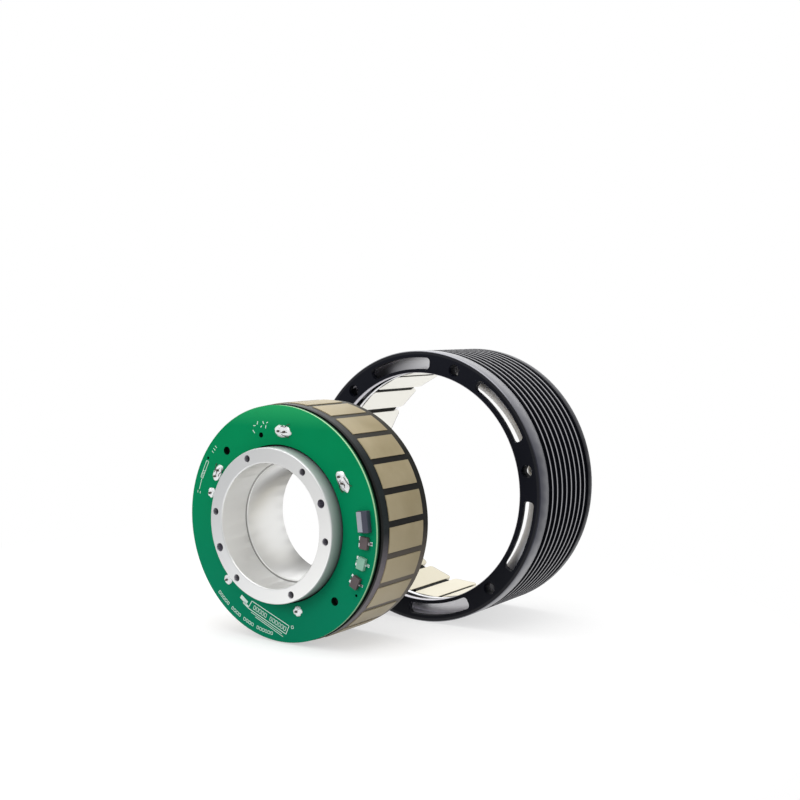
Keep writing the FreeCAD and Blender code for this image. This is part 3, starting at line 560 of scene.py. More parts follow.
def make_anodised():
    material = new_material("black_anodising", linear(15, 17, 25), Roughness=0.36,
                            Specular_IOR_Level=0.12, Coat_Roughness=0.3)
    tree = material.node_tree
    marks = place_effect(material, tool_marks, Axis_X=rotor_axis.x, Axis_Z=rotor_axis.z,
                         Pitch=0.0002, Sweep=4.0)
    grain = place_effect(material, fine_grain, Scale=5000.0)
    cloud = place_effect(material, cloudy, Scale=70.0)
    distance = distance_from(tree, rotor_axis)
    depth = minus(tree, place_value(tree, "Y"), rotor_low.y)
    height = minus(tree, place_value(tree, "Z"), rotor_axis.z)
    # Painted reflection: towards the top and the bottom the band and the fins are greyer.
    lit_off_middle = past(tree, add_math(tree, "ABSOLUTE", height), MIDDLE_HALF, MIDDLE_FADE)
    outside = times(tree, past(tree, distance, FIN_TIPS, SOFT), past(tree, depth, ROUNDED, SHARP))
    finned = times(tree, outside, past(tree, depth, GROOVES_START, SOFT))
    black = vary_colour(material, cloud, linear(10, 12, 20), linear(16, 18, 28))
    front_band = over_colour(material, lit_off_middle, linear(42, 43, 56), linear(142, 142, 148))
    fin_black = over_colour(material, lit_off_middle, linear(28, 28, 34), linear(86, 86, 90))
    turned = over_colour(material, outside, black, front_band)
    turned = over_colour(material, finned, turned, fin_black)
    # Painted highlight: a thin bright line along each fin crest.
    pitches = add_math(tree, "DIVIDE", minus(tree, depth, GROOVES_START + GROOVE_SHIFT), GROOVE_PITCH)
    from_crest = add_math(tree, "ABSOLUTE", minus(tree, add_math(tree, "FRACT", pitches), 0.5))
    crest = times(tree, before(tree, from_crest, CREST_HALF, CREST_FADE),
                  times(tree, outside, band(tree, depth, GROOVES_START, GROOVES_END, SOFT)))
    crest_highlight = over_colour(material, crest, turned, linear(176, 175, 180))
    cavity = times(tree, past(tree, depth, FLANGE_BACK, SHARP),
                   band(tree, distance, CAVITY_WALL, CAVITY_OUTER, SOFT))
    bare = add_math(tree, "MAXIMUM", before(tree, distance, FLANGE_BORE + ROUNDED, SHARP), cavity)
    over_colour(material, bare, crest_highlight, linear(206, 204, 212))
    coated = minus(tree, past(tree, distance, FLANGE_EDGE, SOFT), finned)
    set_shader(material, Metallic=add_math(tree, "MAXIMUM", outside, bare),
               Coat_Weight=times(tree, coated, BAND_COAT))
    vary_roughness(material, cloud, 0.32, 0.4)
    bump_with(material, plus(tree, marks.outputs["Height"], grain.outputs["Height"]), 0.000004, 0.5)
    return material


anodised = make_anodised()
print("made", anodised.name)

# %% [markdown]
# ## The finishes of the magnets and the back iron
# The magnets have a bright coating. Low in the ring it is painted cream, and their ends, their rounded
# edges and a fine line at the far end of each face are painted darker, all as painted shade. The back
# iron is plated and cooler, and the front of its lip is darker on the left, where it looks away from
# the light.

# %% Make the magnet and iron finishes
SHADED_MAGNETS_BELOW = rotor_axis.z - 0.026
LOW_FADE = 0.008
END_FACING = 0.4
END_FADE = 0.1
FAR_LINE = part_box("magnet_01")[1].y - 0.00045
LIP_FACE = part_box("back_iron_ring")[0].y + 0.0003
LIP_FADE = 0.009
LIP_LEFT = rotor_axis.x - LIP_FADE


def make_magnet_coat():
    material = new_material("magnet_coating", linear(247, 245, 237), Metallic=0.9, Roughness=0.32)
    tree = material.node_tree
    cloud = place_effect(material, cloudy, Scale=90.0)
    grain = place_effect(material, fine_grain, Scale=3000.0)
    pale = vary_colour(material, cloud, linear(244, 241, 230), linear(250, 249, 243))
    # Painted shade: the magnets low in the ring are cream.
    low = before(tree, place_value(tree, "Z"), SHADED_MAGNETS_BELOW, LOW_FADE)
    pale = over_colour(material, low, pale, linear(214, 207, 185))
    # Painted shade: the ends and rounded edges of the magnets are darker.
    facing = add_math(tree, "ABSOLUTE", place_value(tree, "Y", "Normal"))
    shaded_ends = past(tree, facing, END_FACING, END_FADE)
    pale = over_colour(material, shaded_ends, pale, linear(176, 173, 166))
    # Painted shade: a fine dark line at the far end of each face.
    over_colour(material, past(tree, place_value(tree, "Y"), FAR_LINE, SOFT), pale, linear(150, 148, 142))
    vary_roughness(material, cloud, 0.28, 0.4)
    bump_with(material, grain.outputs["Height"], 0.000005, 0.4)
    return material


def make_iron_plate():
    material = new_material("plated_iron", linear(238, 238, 244), Metallic=0.9, Roughness=0.36)
    tree = material.node_tree
    marks = place_effect(material, tool_marks, Axis_X=rotor_axis.x, Axis_Z=rotor_axis.z,
                         Pitch=0.00025, Sweep=5.0)
    cloud = place_effect(material, cloudy, Scale=80.0)
    plate = vary_colour(material, cloud, linear(240, 240, 245), linear(249, 249, 251))
    shaded = times(tree, before(tree, place_value(tree, "X"), LIP_LEFT, LIP_FADE),
                   before(tree, place_value(tree, "Y"), LIP_FACE, SOFT))
    over_colour(material, shaded, plate, linear(120, 120, 126))
    vary_roughness(material, cloud, 0.28, 0.38)
    bump_with(material, marks.outputs["Height"], 0.000005, 0.5)
    return material


magnet_coat = make_magnet_coat()
iron_plate = make_iron_plate()
print("made", magnet_coat.name, iron_plate.name)

# %% [markdown]
# ## The finishes of the small parts
# Solder is bright and uneven. Sensor cases and the connector are moulded plastic, and one sensor has a
# pale coating. The print on the board is a thin white ink. Insulation and wire hardly show, but they
# are dressed too, because the model can be taken apart. All of them are two near colours with a little
# grain, so one function makes them, and a line for each gives its own values.

# %% Make the small finishes
GRAIN_PER_CLOUD = 14


def make_plain(name, colour, second, roughness, scale, bump, **inputs):
    """Two near colours, a roughness range, the scale of their clouds and the height of the grain."""
    material = new_material(name, colour, **inputs)
    cloud = place_effect(material, cloudy, Scale=scale)
    grain = place_effect(material, fine_grain, Scale=scale * GRAIN_PER_CLOUD)
    vary_colour(material, cloud, colour, second)
    vary_roughness(material, cloud, *roughness)
    bump_with(material, grain.outputs["Height"], bump, 0.5)
    return material


solder_metal = make_plain("bright_solder", linear(250, 251, 252), linear(236, 238, 240),
                          (0.15, 0.32), 500.0, 0.00003, Metallic=0.45)
# Painted shade: the strands are dark, as the shade between them.
dark_strands = make_plain("strands_painted_shade", linear(46, 42, 40), linear(92, 86, 82),
                          (0.25, 0.4), 900.0, 0.00001, Metallic=0.8)
wire_enamel = make_plain("wire_enamel", linear(104, 48, 24), linear(136, 66, 34),
                         (0.25, 0.4), 300.0, 0.00001)
wire_end = make_plain("cut_wire_end", linear(52, 44, 40), linear(84, 70, 60),
                      (0.3, 0.5), 900.0, 0.00001)
liner_paper = make_plain("liner_paper", linear(206, 196, 170), linear(222, 214, 192),
                         (0.6, 0.75), 300.0, 0.00001)
insulator_plastic = make_plain("insulator_plastic", linear(52, 52, 54), linear(66, 66, 68),
                               (0.4, 0.55), 200.0, 0.00001)
sensor_case = make_plain("sensor_case", linear(74, 64, 66), linear(92, 80, 82),
                         (0.35, 0.5), 400.0, 0.00001)
sensor_pale = make_plain("coated_sensor", linear(112, 168, 144), linear(160, 196, 178),
                         (0.25, 0.4), 260.0, 0.00001)
connector_dark = make_plain("connector_dark", linear(50, 52, 68), linear(64, 66, 82),
                            (0.3, 0.45), 350.0, 0.00001)
connector_pale = make_plain("connector_pale", linear(150, 154, 164), linear(170, 174, 182),
                            (0.35, 0.5), 350.0, 0.00001)
tinned_leg = make_plain("tinned_leg", linear(206, 210, 214), linear(226, 230, 232),
                        (0.25, 0.4), 500.0, 0.00001, Metallic=0.9)
white_ink = make_plain("white_ink", linear(206, 232, 222), linear(222, 238, 230),
                       (0.5, 0.65), 600.0, 0.000005)
# Partly painted shade: the glue between the magnets is nearly black, as the shade deep in the gaps.
gap_glue_and_shade = make_plain("gap_glue_and_shade", linear(9, 9, 6), linear(20, 19, 12),
                        (0.45, 0.6), 300.0, 0.00002, Specular_IOR_Level=0.06)
print("small finishes made")

# %% [markdown]
# ## Dress the solids
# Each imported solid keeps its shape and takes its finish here. Real edges are never knife sharp, and
# the thin highlight on them is what makes metal look machined. A Weld modifier joins the split
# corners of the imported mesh, a Decimate modifier merges its flat triangles, and a small Bevel then
# rounds every edge that is sharp enough. The widths are in millimetres and the angles in degrees.

# %% Give each solid its finish and its edges
FINISHES = {
    "stator_hub": hub_metal, "lamination_stack": tooth_varnish, "cast_compound": cast_resin,
    "sensor_board": board_mask, "front_end_insulator": insulator_plastic,
    "rear_end_insulator": insulator_plastic, "slot_liners": liner_paper, "winding_phase_u": wire_enamel,
    "winding_phase_v": wire_enamel, "winding_phase_w": wire_enamel, "winding_leads": wire_end,
    "solder_joints": solder_metal, "hall_sensor_1": sensor_case, "hall_sensor_2": sensor_pale,
    "hall_sensor_3": sensor_case, "board_connector": connector_dark, "rotor_housing": anodised,
    "back_iron_ring": iron_plate}
EDGE_ROUNDING = {"stator_hub": 0.12, "rotor_housing": 0.14, "sensor_board": 0.06, "magnet": 0.22,
                 "hall_sensor": 0.12, "board_connector": 0.15}
SPLIT_GAP = 0.002
FLAT_WITHIN = 0.3
SHARP_ABOVE = 32


def dress(name, material):
    mesh = nodes[name].data
    mesh.materials.clear()
    mesh.materials.append(material)


def round_edges(name, width):
    solid = nodes[name]
    weld = solid.modifiers.new("join corners", "WELD")
    weld.merge_threshold = SPLIT_GAP * MM
    merge = solid.modifiers.new("merge flat faces", "DECIMATE")
    merge.decimate_type = "DISSOLVE"
    merge.angle_limit = math.radians(FLAT_WITHIN)
    bevel = solid.modifiers.new("round edges", "BEVEL")
    bevel.width = width * MM
    bevel.segments = 2
    bevel.limit_method = "ANGLE"
    bevel.angle_limit = math.radians(SHARP_ABOVE)
    bevel.harden_normals = True


for name in nodes:
    dress(name, FINISHES.get(name, magnet_coat))
    for start, width in EDGE_ROUNDING.items():
        if name.startswith(start):
            round_edges(name, width)
print("dressed", len(nodes), "solids")

# %% [markdown]
# ## Helpers for new meshes
# The fine pieces are built from points and faces. A flat outline is raised into a thin slab, many
# slabs share one mesh, and a piece rides on its body, so it turns with it. Measures of the fine pieces
# are written in millimetres and multiplied by `MM`.

# %% Helpers for meshes


def make_piece(name, points, faces, material, body, smooth_below=40):
    """A mesh of its own that rides on a body. Edges below an angle in degrees are shaded smooth."""
    mesh = bpy.data.meshes.new(name)
    mesh.from_pydata([tuple(p) for p in points], [], faces)
    mesh.validate()
    mesh.polygons.foreach_set("use_smooth", [True] * len(mesh.polygons))
    mesh.set_sharp_from_angle(angle=math.radians(smooth_below))
    mesh.materials.append(material)
    piece = bpy.data.objects.new(name, mesh)
    bpy.context.scene.collection.objects.link(piece)
    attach(piece, body)
    print(name, len(faces), "faces")
    return piece


def add_slab(points, faces, outline, back, front):
    """Raise an outline of (x, z) pairs from one height along Y to another."""
    start = len(points)
    count = len(outline)
    points.extend(Vector((x, back, z)) for x, z in outline)
    points.extend(Vector((x, front, z)) for x, z in outline)
    faces.append([start + i for i in range(count)])
    faces.append([start + count + i for i in reversed(range(count))])
    for i in range(count):
        following = (i + 1) % count
        faces.append([start + i, start + count + i, start + count + following, start + following])


def polar_bar(radius, degrees, along, across, tilt=0):
    """Corners of a small bar on the board: its length runs round the axis, its width outwards."""
    centre = on_ring(stator_axis, radius * MM, degrees, 0)
    turn = math.radians(degrees + 90 + tilt)
    lengthwise = Vector((math.cos(turn), 0, math.sin(turn))) * (along * MM / 2)
    sideways = Vector((-math.sin(turn), 0, math.cos(turn))) * (across * MM / 2)
    corners = [centre + lengthwise * i + sideways * j for i, j in ((1, 1), (-1, 1), (-1, -1), (1, -1))]
    return [(corner.x, corner.z) for corner in corners]


def line_bar(start, finish, width):
    """Corners of a straight line of ink between two (x, z) points in millimetres."""
    first = Vector((start[0], start[1])) * MM
    last = Vector((finish[0], finish[1])) * MM
    side = (last - first).orthogonal().normalized() * (width * MM / 2)
    return [tuple(p) for p in (first + side, last + side, last - side, first - side)]


# %% [markdown]
# ## Ink on the board
# The real board has white print on it. Here its places keep plain marks without letters: rows of
# small open boxes that follow the rim, a long frame with small boxes in it and two lines under it, a
# narrow hatched frame on the left, and ticks by the holes. Ink is a few hundredths of a millimetre
# thick, so real thin slabs are enough.

# %% Helpers that draw with ink
INK_LINE = 0.2


def outline_of(corners, line=INK_LINE):
    """Four lines of ink round a field with four (x, z) corners in millimetres."""
    return [line_bar(corners[i], corners[(i + 1) % 4], line) for i in range(4)]


def rim_box(radius, degrees, along, across):
    """A small open box that follows the rim."""
    return outline_of([(x / MM, z / MM) for x, z in polar_bar(radius, degrees, along, across)])


def rim_boxes(first, last, radius, pattern, across):
    """A row of open boxes between two angles; the pattern gives each one's share of its step."""
    step = (last - first) / len(pattern)
    length = abs(math.radians(step)) * radius
    boxes = [rim_box(radius, first + step * (i + 0.5), length * share, across)
             for i, share in enumerate(pattern) if share]
    return [bar for box in boxes for bar in box]


def boxes_between(start, finish, pattern, across):
    """A row of open boxes along a straight line."""
    first, last = Vector(start), Vector(finish)
    along = (last - first) / len(pattern)
    up = Vector((-along.y, along.x)).normalized() * across
    boxes = []
    for i, share in enumerate(pattern):
        if share:
            left = first + along * (i + 0.5 - share / 2)
            right = first + along * (i + 0.5 + share / 2)
            boxes += outline_of([left, right, right + up, left + up])
    return boxes


# %% Print the marks
INK_THICKNESS = 0.03
FRAME_CORNERS = [(-14.8, -31.9), (2.8, -38.9), (4.2, -35.8), (-12.9, -29.1)]
FRAME_ROW = [0.6, 0.7, 0.7, 0.6, 0.7, 0, 0.6, 0.7, 0.7, 0.6, 0.7, 0.7]
RIM_ROW = [0.7, 0.6, 0.7, 0.7, 0.6, 0, 0.5, 0.7, 0.7, 0.6, 0,
           0.7, 0.6, 0.7, 0.7, 0, 0.6, 0.7, 0.7, 0.6, 0.7, 0.6]
STROKES = [((-13.4, -33.2), (1.0, -39.1), 0.22), ((-11.4, -34.7), (1.4, -40.0), 0.22),
           ((-18.2, -28.0), (-15.2, -30.2), 1.5), ((-17.0, -30.0), (-14.6, -31.6), 0.9)]
LEFT_CIRCLE = 39.2
SCATTERED = [(34.1, 109.6, 0.3, 1.3, 20), (36.0, 108.0, 1.0, 0.3, -15), (36.6, 105.4, 0.3, 1.2, -30),
             (35.0, 103.2, 0.9, 0.3, 30), (36.2, 101.2, 0.3, 1.1, 10), (34.6, 99.8, 0.3, 1.2, -20),
             (36.0, 98.4, 0.8, 0.3, 15)]

ink = rim_boxes(223.5, 265.5, 39.7, RIM_ROW, 1.0)
ink += outline_of(FRAME_CORNERS, 0.28)
ink += boxes_between((-12.6, -31.8), (2.6, -37.9), FRAME_ROW, 1.4)
ink += [line_bar(*stroke) for stroke in STROKES]
ink += rim_box(36.5, 279.0, 0.9, 0.9)
ink += rim_box(LEFT_CIRCLE, 154.3, 7.0, 1.1)
ink += [polar_bar(LEFT_CIRCLE, 155.2 + 0.9 * k, 0.16, 1.0, 24) for k in range(5)]
ink += [polar_bar(LEFT_CIRCLE, 163.0, 4.1, 0.22)]
ink += [polar_bar(LEFT_CIRCLE + 0.6 * side, 167.5, 0.9, 0.22) for side in (-1, 1)]
ink += [polar_bar(LEFT_CIRCLE, 139.2 + 1.8 * k, 0.22, 1.1) for k in range(3)]
ink += [polar_bar(*mark) for mark in SCATTERED]
ink_points, ink_faces = [], []
for outline in ink:
    add_slab(ink_points, ink_faces, outline, board_face, board_face - INK_THICKNESS * MM)
make_piece("board_marks", ink_points, ink_faces, white_ink, "stator")

# %% [markdown]
# ## Solder joints
# The leads come up through the board and end in solder. A real joint is a drop that has pulled itself
# round a bundle of thin strands, bright and never even. A hemisphere grid is stretched to the length
# of each joint and pushed in and out by noise with a fixed start. The drops stand for the plain domes
# of the imported model. On the long joints the strands still show as ridges: thin bent tubes that lie
# half sunk in the drop, coloured dark as the painted shade between the strands.

# %% Build the solder drops
SOLDER_RINGS = 12
SOLDER_SPOKES = 40
LEAD_CIRCLE = 32.95
JOINTS = [(LEAD_CIRCLE, 31.6, 8.2, 4.0), (LEAD_CIRCLE, 86.5, 7.0, 4.4), (LEAD_CIRCLE, 150.7, 6.6, 4.0),
          (LEAD_CIRCLE, 164.7, 3.8, 3.4), (LEAD_CIRCLE, 223.1, 3.6, 3.4), (31.1, 285.5, 3.8, 3.6)]
SOLDER_HEIGHT = 0.95
SOLDER_SWELL = 0.2
SWELL_SCALE, SWELL_SHIFT = 1.6, 7.1
SOLDER_DENT = 0.25
DENT_SCALE, DENT_SHIFT = 3.1, 5.3
SOLDER_FULLNESS = 0.8
STRANDS = 3
STRAND_RADIUS = 0.13
STRAND_STEPS = 10
STRAND_REACH = 0.3
STRAND_SHIFT = 0.1
STRAND_SPACING = 0.36
STRAND_TAPER = 0.35
STRAND_SWAY = 0.24
SWAY_ALONG, SWAY_ASIDE, SWAY_SHIFT = 1.4, 3.7, 2.9
STRAND_RISE = 0.98
STRAND_SIDE_DROP = 0.2
STRAND_LIFT = 0.06


def joint_axes(radius, degrees):
    """Middle of a joint on the board, its lengthwise and its sideways direction."""
    turn = math.radians(degrees + 90)
    return (on_ring(stator_axis, radius * MM, degrees, board_face),
            Vector((math.cos(turn), 0, math.sin(turn))), Vector((-math.sin(turn), 0, math.cos(turn))))


def solder_drop(points, faces, radius, degrees, length, width, seed):
    centre, lengthwise, sideways = joint_axes(radius, degrees)
    start = len(points)
    for ring in range(SOLDER_RINGS):
        climb = math.pi / 2 * ring / SOLDER_RINGS
        for spoke in range(SOLDER_SPOKES):
            sweep = 2 * math.pi * spoke / SOLDER_SPOKES
            flat = Vector((math.cos(sweep), math.sin(sweep), climb))
            swell = 1 + SOLDER_SWELL * noise.noise(flat * SWELL_SCALE + Vector((seed * SWELL_SHIFT, 0, 0)))
            dent = 1 + SOLDER_DENT * noise.noise(flat * DENT_SCALE + Vector((0, seed * DENT_SHIFT, 0)))
            reach = math.cos(climb) ** SOLDER_FULLNESS * swell
            points.append(centre + lengthwise * (math.cos(sweep) * reach * length * MM / 2)
                          + sideways * (math.sin(sweep) * reach * width * MM / 2)
                          + Vector((0, -math.sin(climb) * dent * SOLDER_HEIGHT * MM, 0)))
    points.append(centre + Vector((0, -SOLDER_HEIGHT * MM, 0)))
    top = len(points) - 1
    faces.append([start + spoke for spoke in range(SOLDER_SPOKES)])
    for ring in range(SOLDER_RINGS - 1):
        for spoke in range(SOLDER_SPOKES):
            here = start + ring * SOLDER_SPOKES + spoke
            beside = start + ring * SOLDER_SPOKES + (spoke + 1) % SOLDER_SPOKES
            faces.append([here, here + SOLDER_SPOKES, beside + SOLDER_SPOKES, beside])
    last = start + (SOLDER_RINGS - 1) * SOLDER_SPOKES
    for spoke in range(SOLDER_SPOKES):
        faces.append([last + spoke, top, last + (spoke + 1) % SOLDER_SPOKES])


def add_tube(points, faces, path, radius, sides=8):
    """A closed tube along a path of points."""
    start = len(points)
    for index, here in enumerate(path):
        last, following = path[max(index - 1, 0)], path[min(index + 1, len(path) - 1)]
        forward = (following - last).normalized()
        outward = forward.cross(Vector((0, 1, 0))).normalized()
        upward = outward.cross(forward)
        for side in range(sides):
            turn = 2 * math.pi * side / sides
            points.append(here + (outward * math.cos(turn) + upward * math.sin(turn)) * radius)
    for index in range(len(path) - 1):
        for side in range(sides):
            here = start + index * sides + side
            beside = start + index * sides + (side + 1) % sides
            faces.append([here, beside, beside + sides, here + sides])
    faces.append([start + side for side in reversed(range(sides))])
    faces.append([start + (len(path) - 1) * sides + side for side in range(sides)])


def strand_path(joint, place, seed):
    """A strand that climbs out of the board at one end of a joint and sinks in at the other."""
    radius, degrees, length, width = joint
    centre, lengthwise, sideways = joint_axes(radius, degrees)
    path = []
    for step in range(STRAND_STEPS + 1):
        share = step / STRAND_STEPS * 2 - 1
        spot = Vector((share * SWAY_ALONG, place * SWAY_ASIDE, seed * SWAY_SHIFT))
        sway = STRAND_SWAY * noise.noise(spot)
        arch = math.sqrt(max(1 - share * share, 0.0)) * (1 - STRAND_SIDE_DROP * abs(place))
        height = STRAND_RISE * arch + STRAND_LIFT
        along = lengthwise * (share * STRAND_REACH - STRAND_SHIFT) * length
        aside = sideways * (place * STRAND_SPACING * (1 - share * STRAND_TAPER) + sway) * width
        path.append(centre + (along + aside - Vector((0, height, 0))) * MM)
    return path


drop_points, drop_faces = [], []
for seed, joint in enumerate(JOINTS):
    solder_drop(drop_points, drop_faces, *joint, seed)
drops = make_piece("solder_drops", drop_points, drop_faces, solder_metal, "stator", 60)
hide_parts("solder_joints")

strand_points, strand_faces = [], []
for seed, joint in enumerate(JOINTS[:3]):
    for strand in range(STRANDS):
        place = strand / (STRANDS - 1) * 2 - 1
        add_tube(strand_points, strand_faces, strand_path(joint, place, seed), STRAND_RADIUS * MM)
make_piece("wire_strands", strand_points, strand_faces, dark_strands, "stator", 60)

# %% [markdown]
# ## Legs of the sensors and the connector
# Each sensor stands on three thin tinned legs that bend down to pads on the board, one on one side
# and two on the other. A leg is three flat bars: a shoulder out of the case, a shin and a foot, each
# given by where it starts and ends off the middle of the sensor and by its two heights over the board.
# The connector has a pale latch half and a row of contact tails.

# %% Build the legs and pads
SENSOR_ANGLES = [-4.4 - 10.909 * k for k in range(3)]
SENSOR_CIRCLE = 37.7
LEG_PLACES = [(-1, -1.2), (-1, 1.2), (1, 0.0)]
LEG_WIDTHS = [0.9, 0.6, 0.4]
LEG_BARS = [(1.45, 1.95, 0.7, 0.85), (1.8, 1.95, 0.15, 0.72), (1.8, 2.5, 0.04, 0.18)]
PAD_START, PAD_END = 1.7, 2.8
PAD_MARGIN = 0.4
PAD_THICKNESS = 0.05


def leg_outline(side, offset, degrees, near, far, width):
    centre = SENSOR_CIRCLE + side * (near + far) / 2
    shift = math.degrees(offset / centre)
    return polar_bar(centre, degrees + shift, width, far - near)


leg_points, leg_faces = [], []
pad_points, pad_faces = [], []
for degrees, width in zip(SENSOR_ANGLES, LEG_WIDTHS):
    for side, offset in LEG_PLACES:
        for near, far, low, high in LEG_BARS:
            add_slab(leg_points, leg_faces, leg_outline(side, offset, degrees, near, far, width),
                     board_face - low * MM, board_face - high * MM)
        pad = leg_outline(side, offset, degrees, PAD_START, PAD_END, width + PAD_MARGIN)
        add_slab(pad_points, pad_faces, pad, board_face, board_face - PAD_THICKNESS * MM)
make_piece("sensor_legs", leg_points, leg_faces, tinned_leg, "stator")
make_piece("sensor_pads", pad_points, pad_faces, solder_metal, "stator")

# %% Build the latch and the tails
CONNECTOR_ANGLE = 6.6
LATCH_CIRCLE = SENSOR_CIRCLE - 1.25
LATCH_SIZE = (6.8, 2.0)
LATCH_BACK, LATCH_FRONT = 1.1, 1.75
TAIL_CIRCLE = SENSOR_CIRCLE - 2.6
TAIL_SIZE = (0.5, 0.8)
TAIL_STEP = 1.25
TAIL_THICKNESS = 0.25

latch_points, latch_faces = [], []
add_slab(latch_points, latch_faces, polar_bar(LATCH_CIRCLE, CONNECTOR_ANGLE, *LATCH_SIZE),
         board_face - LATCH_BACK * MM, board_face - LATCH_FRONT * MM)
make_piece("connector_latch", latch_points, latch_faces, connector_pale, "stator")
tail_points, tail_faces = [], []
for place in range(-2, 3):
    shift = math.degrees(place * TAIL_STEP / TAIL_CIRCLE)
    add_slab(tail_points, tail_faces, polar_bar(TAIL_CIRCLE, CONNECTOR_ANGLE + shift, *TAIL_SIZE),
             board_face, board_face - TAIL_THICKNESS * MM)
make_piece("connector_tails", tail_points, tail_faces, tinned_leg, "stator")

# %% [markdown]
# ## Threads in the hub
# The six small holes of the hub face are tapped. The solid has only their core, so a ridged wall winds
# down each, one turn every half millimetre. It is painted darker than the face, as the shade of a deep
# narrow hole.

# %% Cut the threads
THREAD_PITCH = 0.5
THREAD_TURNS = 14
THREAD_STEPS = 24
THREAD_CORE = 1.245
THREAD_RIDGE = 0.16
THREAD_START = 0.4
RIDGE_HALF = THREAD_PITCH / 2
TAPPED_ANGLES = [53 + 60 * k for k in range(6)]
HOLE_CIRCLE = hub_radius / MM - 2.5

thread_points, thread_faces = [], []
for degrees in TAPPED_ANGLES:
    centre = on_ring(stator_axis, HOLE_CIRCLE * MM, degrees, hub_face)
    start = len(thread_points)
    steps = THREAD_TURNS * THREAD_STEPS
    for step in range(steps + 1):
        turn = 2 * math.pi * step / THREAD_STEPS
        depth = THREAD_START + THREAD_PITCH * step / THREAD_STEPS
        for radius, lift in ((THREAD_CORE, -RIDGE_HALF), (THREAD_CORE - THREAD_RIDGE, 0),
                             (THREAD_CORE, RIDGE_HALF)):
            thread_points.append(centre + Vector((radius * math.cos(turn), depth + lift,
                                                  radius * math.sin(turn))) * MM)
    for step in range(steps):
        here = start + step * 3
        for side in (0, 1):
            thread_faces.append([here + side, here + side + 1, here + side + 4, here + side + 3])
make_piece("hub_threads", thread_points, thread_faces, thread_metal, "stator", 30)

# %% [markdown]
# ## Bonding resin between the magnets
# The magnets are glued to the back iron, and the glue fills the gaps almost to the faces of the
# magnets. It is nearly black, partly its own colour and partly painted shade deep in the gaps, and it
# stops short of both ends, so the gaps read as dark lines. The sides of two magnets draw apart towards
# the iron, so each strip is a little wider at its foot.

# %% Fill the gaps
magnet_names = sorted(name for name in nodes if name.startswith("magnet_") and name[-1].isdigit())
first_low, first_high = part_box(magnet_names[0])
POLE_STEP = 360 / len(magnet_names)
FIRST_GAP = 12.5
BOND_START = 3.2
BOND_STOP = 4.0
BOND_INNER = 43.9
BOND_OUTER = 46.25
BOND_FACE_WIDTH = 1.96
BOND_FOOT_WIDTH = 2.6
BOND_SECTION = [(BOND_OUTER, BOND_FOOT_WIDTH / 2), (BOND_INNER, BOND_FACE_WIDTH / 2),
                (BOND_INNER, -BOND_FACE_WIDTH / 2), (BOND_OUTER, -BOND_FOOT_WIDTH / 2)]

bond_points, bond_faces = [], []
for number in range(len(magnet_names)):
    turn = math.radians(FIRST_GAP + POLE_STEP * number)
    outward = Vector((math.cos(turn), 0, math.sin(turn)))
    sideways = Vector((-outward.z, 0, outward.x))
    corners = [rotor_axis + (outward * radius + sideways * aside) * MM for radius, aside in BOND_SECTION]
    add_slab(bond_points, bond_faces, [(corner.x, corner.z) for corner in corners],
             first_high.y - BOND_STOP * MM, first_low.y + BOND_START * MM)
make_piece("magnet_bond", bond_points, bond_faces, gap_glue_and_shade, "rotor")

# %% [markdown]
# ## Floor and light
# The floor is a wide pale plane that fades into a white world, so no horizon shows. Its own diffuse
# colour takes the shadows and lights the rings from below. Where the camera or a reflection looks at
# it, a second, even glow lifts it to white, and far from the rings it is all glow. The Light Path node
# tells the two apart: seen rays come from the camera, a mirror or glass, and the rest carry light.

# %% Lay the floor
FLOOR_HALF = 4.0
FLOOR_DIFFUSE = 0.52
FLOOR_GLOW = 0.52
ROOM_IN_FRONT = 0.73
ROOM_BEHIND = 1.05
FADE_CENTRE = Vector((-0.03, -0.005, floor_height))
FADE_MIDDLE = 0.14
FADE_HALF = 0.08

floor_mesh = bpy.data.meshes.new("floor")
floor_mesh.from_pydata([(x * FLOOR_HALF, y * FLOOR_HALF, floor_height)
                        for x, y in ((-1, -1), (1, -1), (1, 1), (-1, 1))], [], [(0, 1, 2, 3)])
floor = bpy.data.objects.new("floor", floor_mesh)
bpy.context.scene.collection.objects.link(floor)


def ray_is(tree, kind):
    return tree.nodes.new("ShaderNodeLightPath").outputs["Is " + kind + " Ray"]


def seen_rays(tree):
    """1 for camera, mirror and glass rays, 0 for the rays that carry light."""
    seen = add_math(tree, "MAXIMUM", ray_is(tree, "Camera"), ray_is(tree, "Glossy"))
    return add_math(tree, "MAXIMUM", seen, ray_is(tree, "Transmission"))


def room_light(tree, value, middle, softness):
    """White for the camera; in mirrors dimmer in front of the rings than behind them."""
    mirror = ray_is(tree, "Glossy")
    behind = past(tree, value, middle, softness)
    mirrored = plus(tree, ROOM_IN_FRONT, times(tree, behind, ROOM_BEHIND - ROOM_IN_FRONT))
    return plus(tree, minus(tree, 1.0, mirror), times(tree, mirror, mirrored))


def far_from(tree, point):
    """0 near a point of the floor and 1 far from it."""
    gap = tree.nodes.new("ShaderNodeVectorMath")
    gap.operation = "DISTANCE"
    feed(tree, gap.inputs[0], tree.nodes.new("ShaderNodeTexCoord").outputs["Object"])
    feed(tree, gap.inputs[1], point)
    return past(tree, gap.outputs["Value"], FADE_MIDDLE, FADE_HALF)


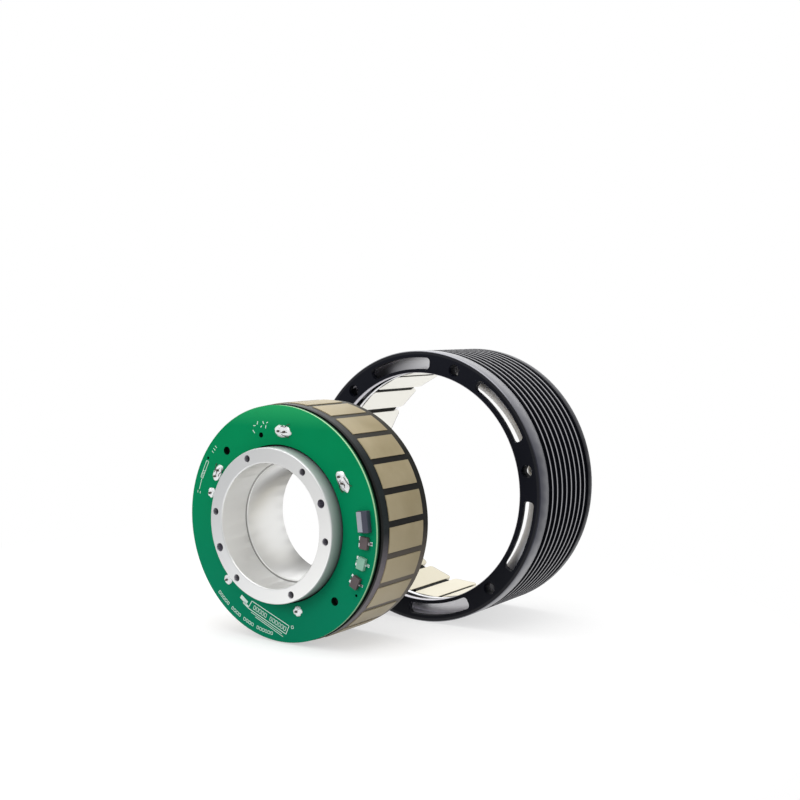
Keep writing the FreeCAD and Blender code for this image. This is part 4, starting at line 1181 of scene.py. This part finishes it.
def make_floor_material():
    material = bpy.data.materials.new("pale_floor")
    material.use_nodes = True
    tree = material.node_tree
    tree.nodes.clear()
    seen = seen_rays(tree)
    diffuse = add_node(tree, "ShaderNodeBsdfDiffuse", Color=(FLOOR_DIFFUSE,) * 3 + (1,))
    glow = add_node(tree, "ShaderNodeEmission", Strength=times(tree, seen, FLOOR_GLOW))
    near = tree.nodes.new("ShaderNodeAddShader")
    far = add_node(tree, "ShaderNodeEmission",
                   Strength=room_light(tree, place_value(tree, "Y"), 0.0, 0.3))
    mix = add_node(tree, "ShaderNodeMixShader", Fac=times(tree, seen, far_from(tree, FADE_CENTRE)))
    output = tree.nodes.new("ShaderNodeOutputMaterial")
    for socket, shader in ((near.inputs[0], diffuse), (near.inputs[1], glow), (mix.inputs[1], near),
                           (mix.inputs[2], far), (output.inputs["Surface"], mix)):
        feed(tree, socket, shader.outputs[0])
    return material


floor_mesh.materials.append(make_floor_material())
print("floor at", round(floor_height, 4))

# %% [markdown]
# ## World and lamps
# The light is a broad soft panel above and a smaller one from the front left. Bright metal mirrors the
# room, so the world it reflects is dimmer in front than behind, and has its brightest part behind on
# the left: this puts the light on the tops of both rings. The part of the world that carries light is
# a plain value of its own.

# %% Set the world
WHITE = (1, 1, 1, 1)
WORLD_LIGHT = 0.68
LEFT_BEHIND = 0.35
BEHIND_FROM, BEHIND_REACH = 0.2, 0.3
LEFT_FROM, LEFT_REACH = -0.15, 0.35


def make_world():
    world = bpy.data.worlds.new("studio")
    world.use_nodes = True
    tree = world.node_tree
    back = place_value(tree, "Y", "Generated")
    left = before(tree, place_value(tree, "X", "Generated"), LEFT_FROM, LEFT_REACH)
    corner = times(tree, past(tree, back, BEHIND_FROM, BEHIND_REACH), left)
    corner = times(tree, corner, ray_is(tree, "Glossy"))
    seen = seen_rays(tree)
    room = room_light(tree, back, BEHIND_FROM, BEHIND_REACH)
    shown = times(tree, seen, plus(tree, room, times(tree, corner, LEFT_BEHIND)))
    lighting = times(tree, minus(tree, 1.0, seen), WORLD_LIGHT)
    feed_all(tree, tree.nodes["Background"], {"Color": WHITE, "Strength": plus(tree, shown, lighting)})
    return world


bpy.context.scene.world = make_world()
print("world", bpy.context.scene.world.name)

# %% Hang the lamps


def add_panel(name, place, target, size, power):
    data = bpy.data.lights.new(name, "AREA")
    data.shape = "RECTANGLE"
    data.size, data.size_y = size
    data.energy = power
    lamp = bpy.data.objects.new(name, data)
    lamp.location = place
    lamp.rotation_euler = (Vector(target) - Vector(place)).to_track_quat("-Z", "Y").to_euler()
    bpy.context.scene.collection.objects.link(lamp)
    return lamp


top_panel = add_panel("top_panel", place=(0, 0, 0.75), target=(0.01, 0.03, 0), size=(1.0, 0.8),
                      power=4.2)
front_panel = add_panel("front_panel", place=(-0.2, -0.85, 0.5), target=(0, 0, 0), size=(0.6, 0.6),
                        power=3.0)
front_panel.visible_glossy = False
bpy.context.scene.view_settings.view_transform = "Standard"
print("lamps", top_panel.name, front_panel.name)
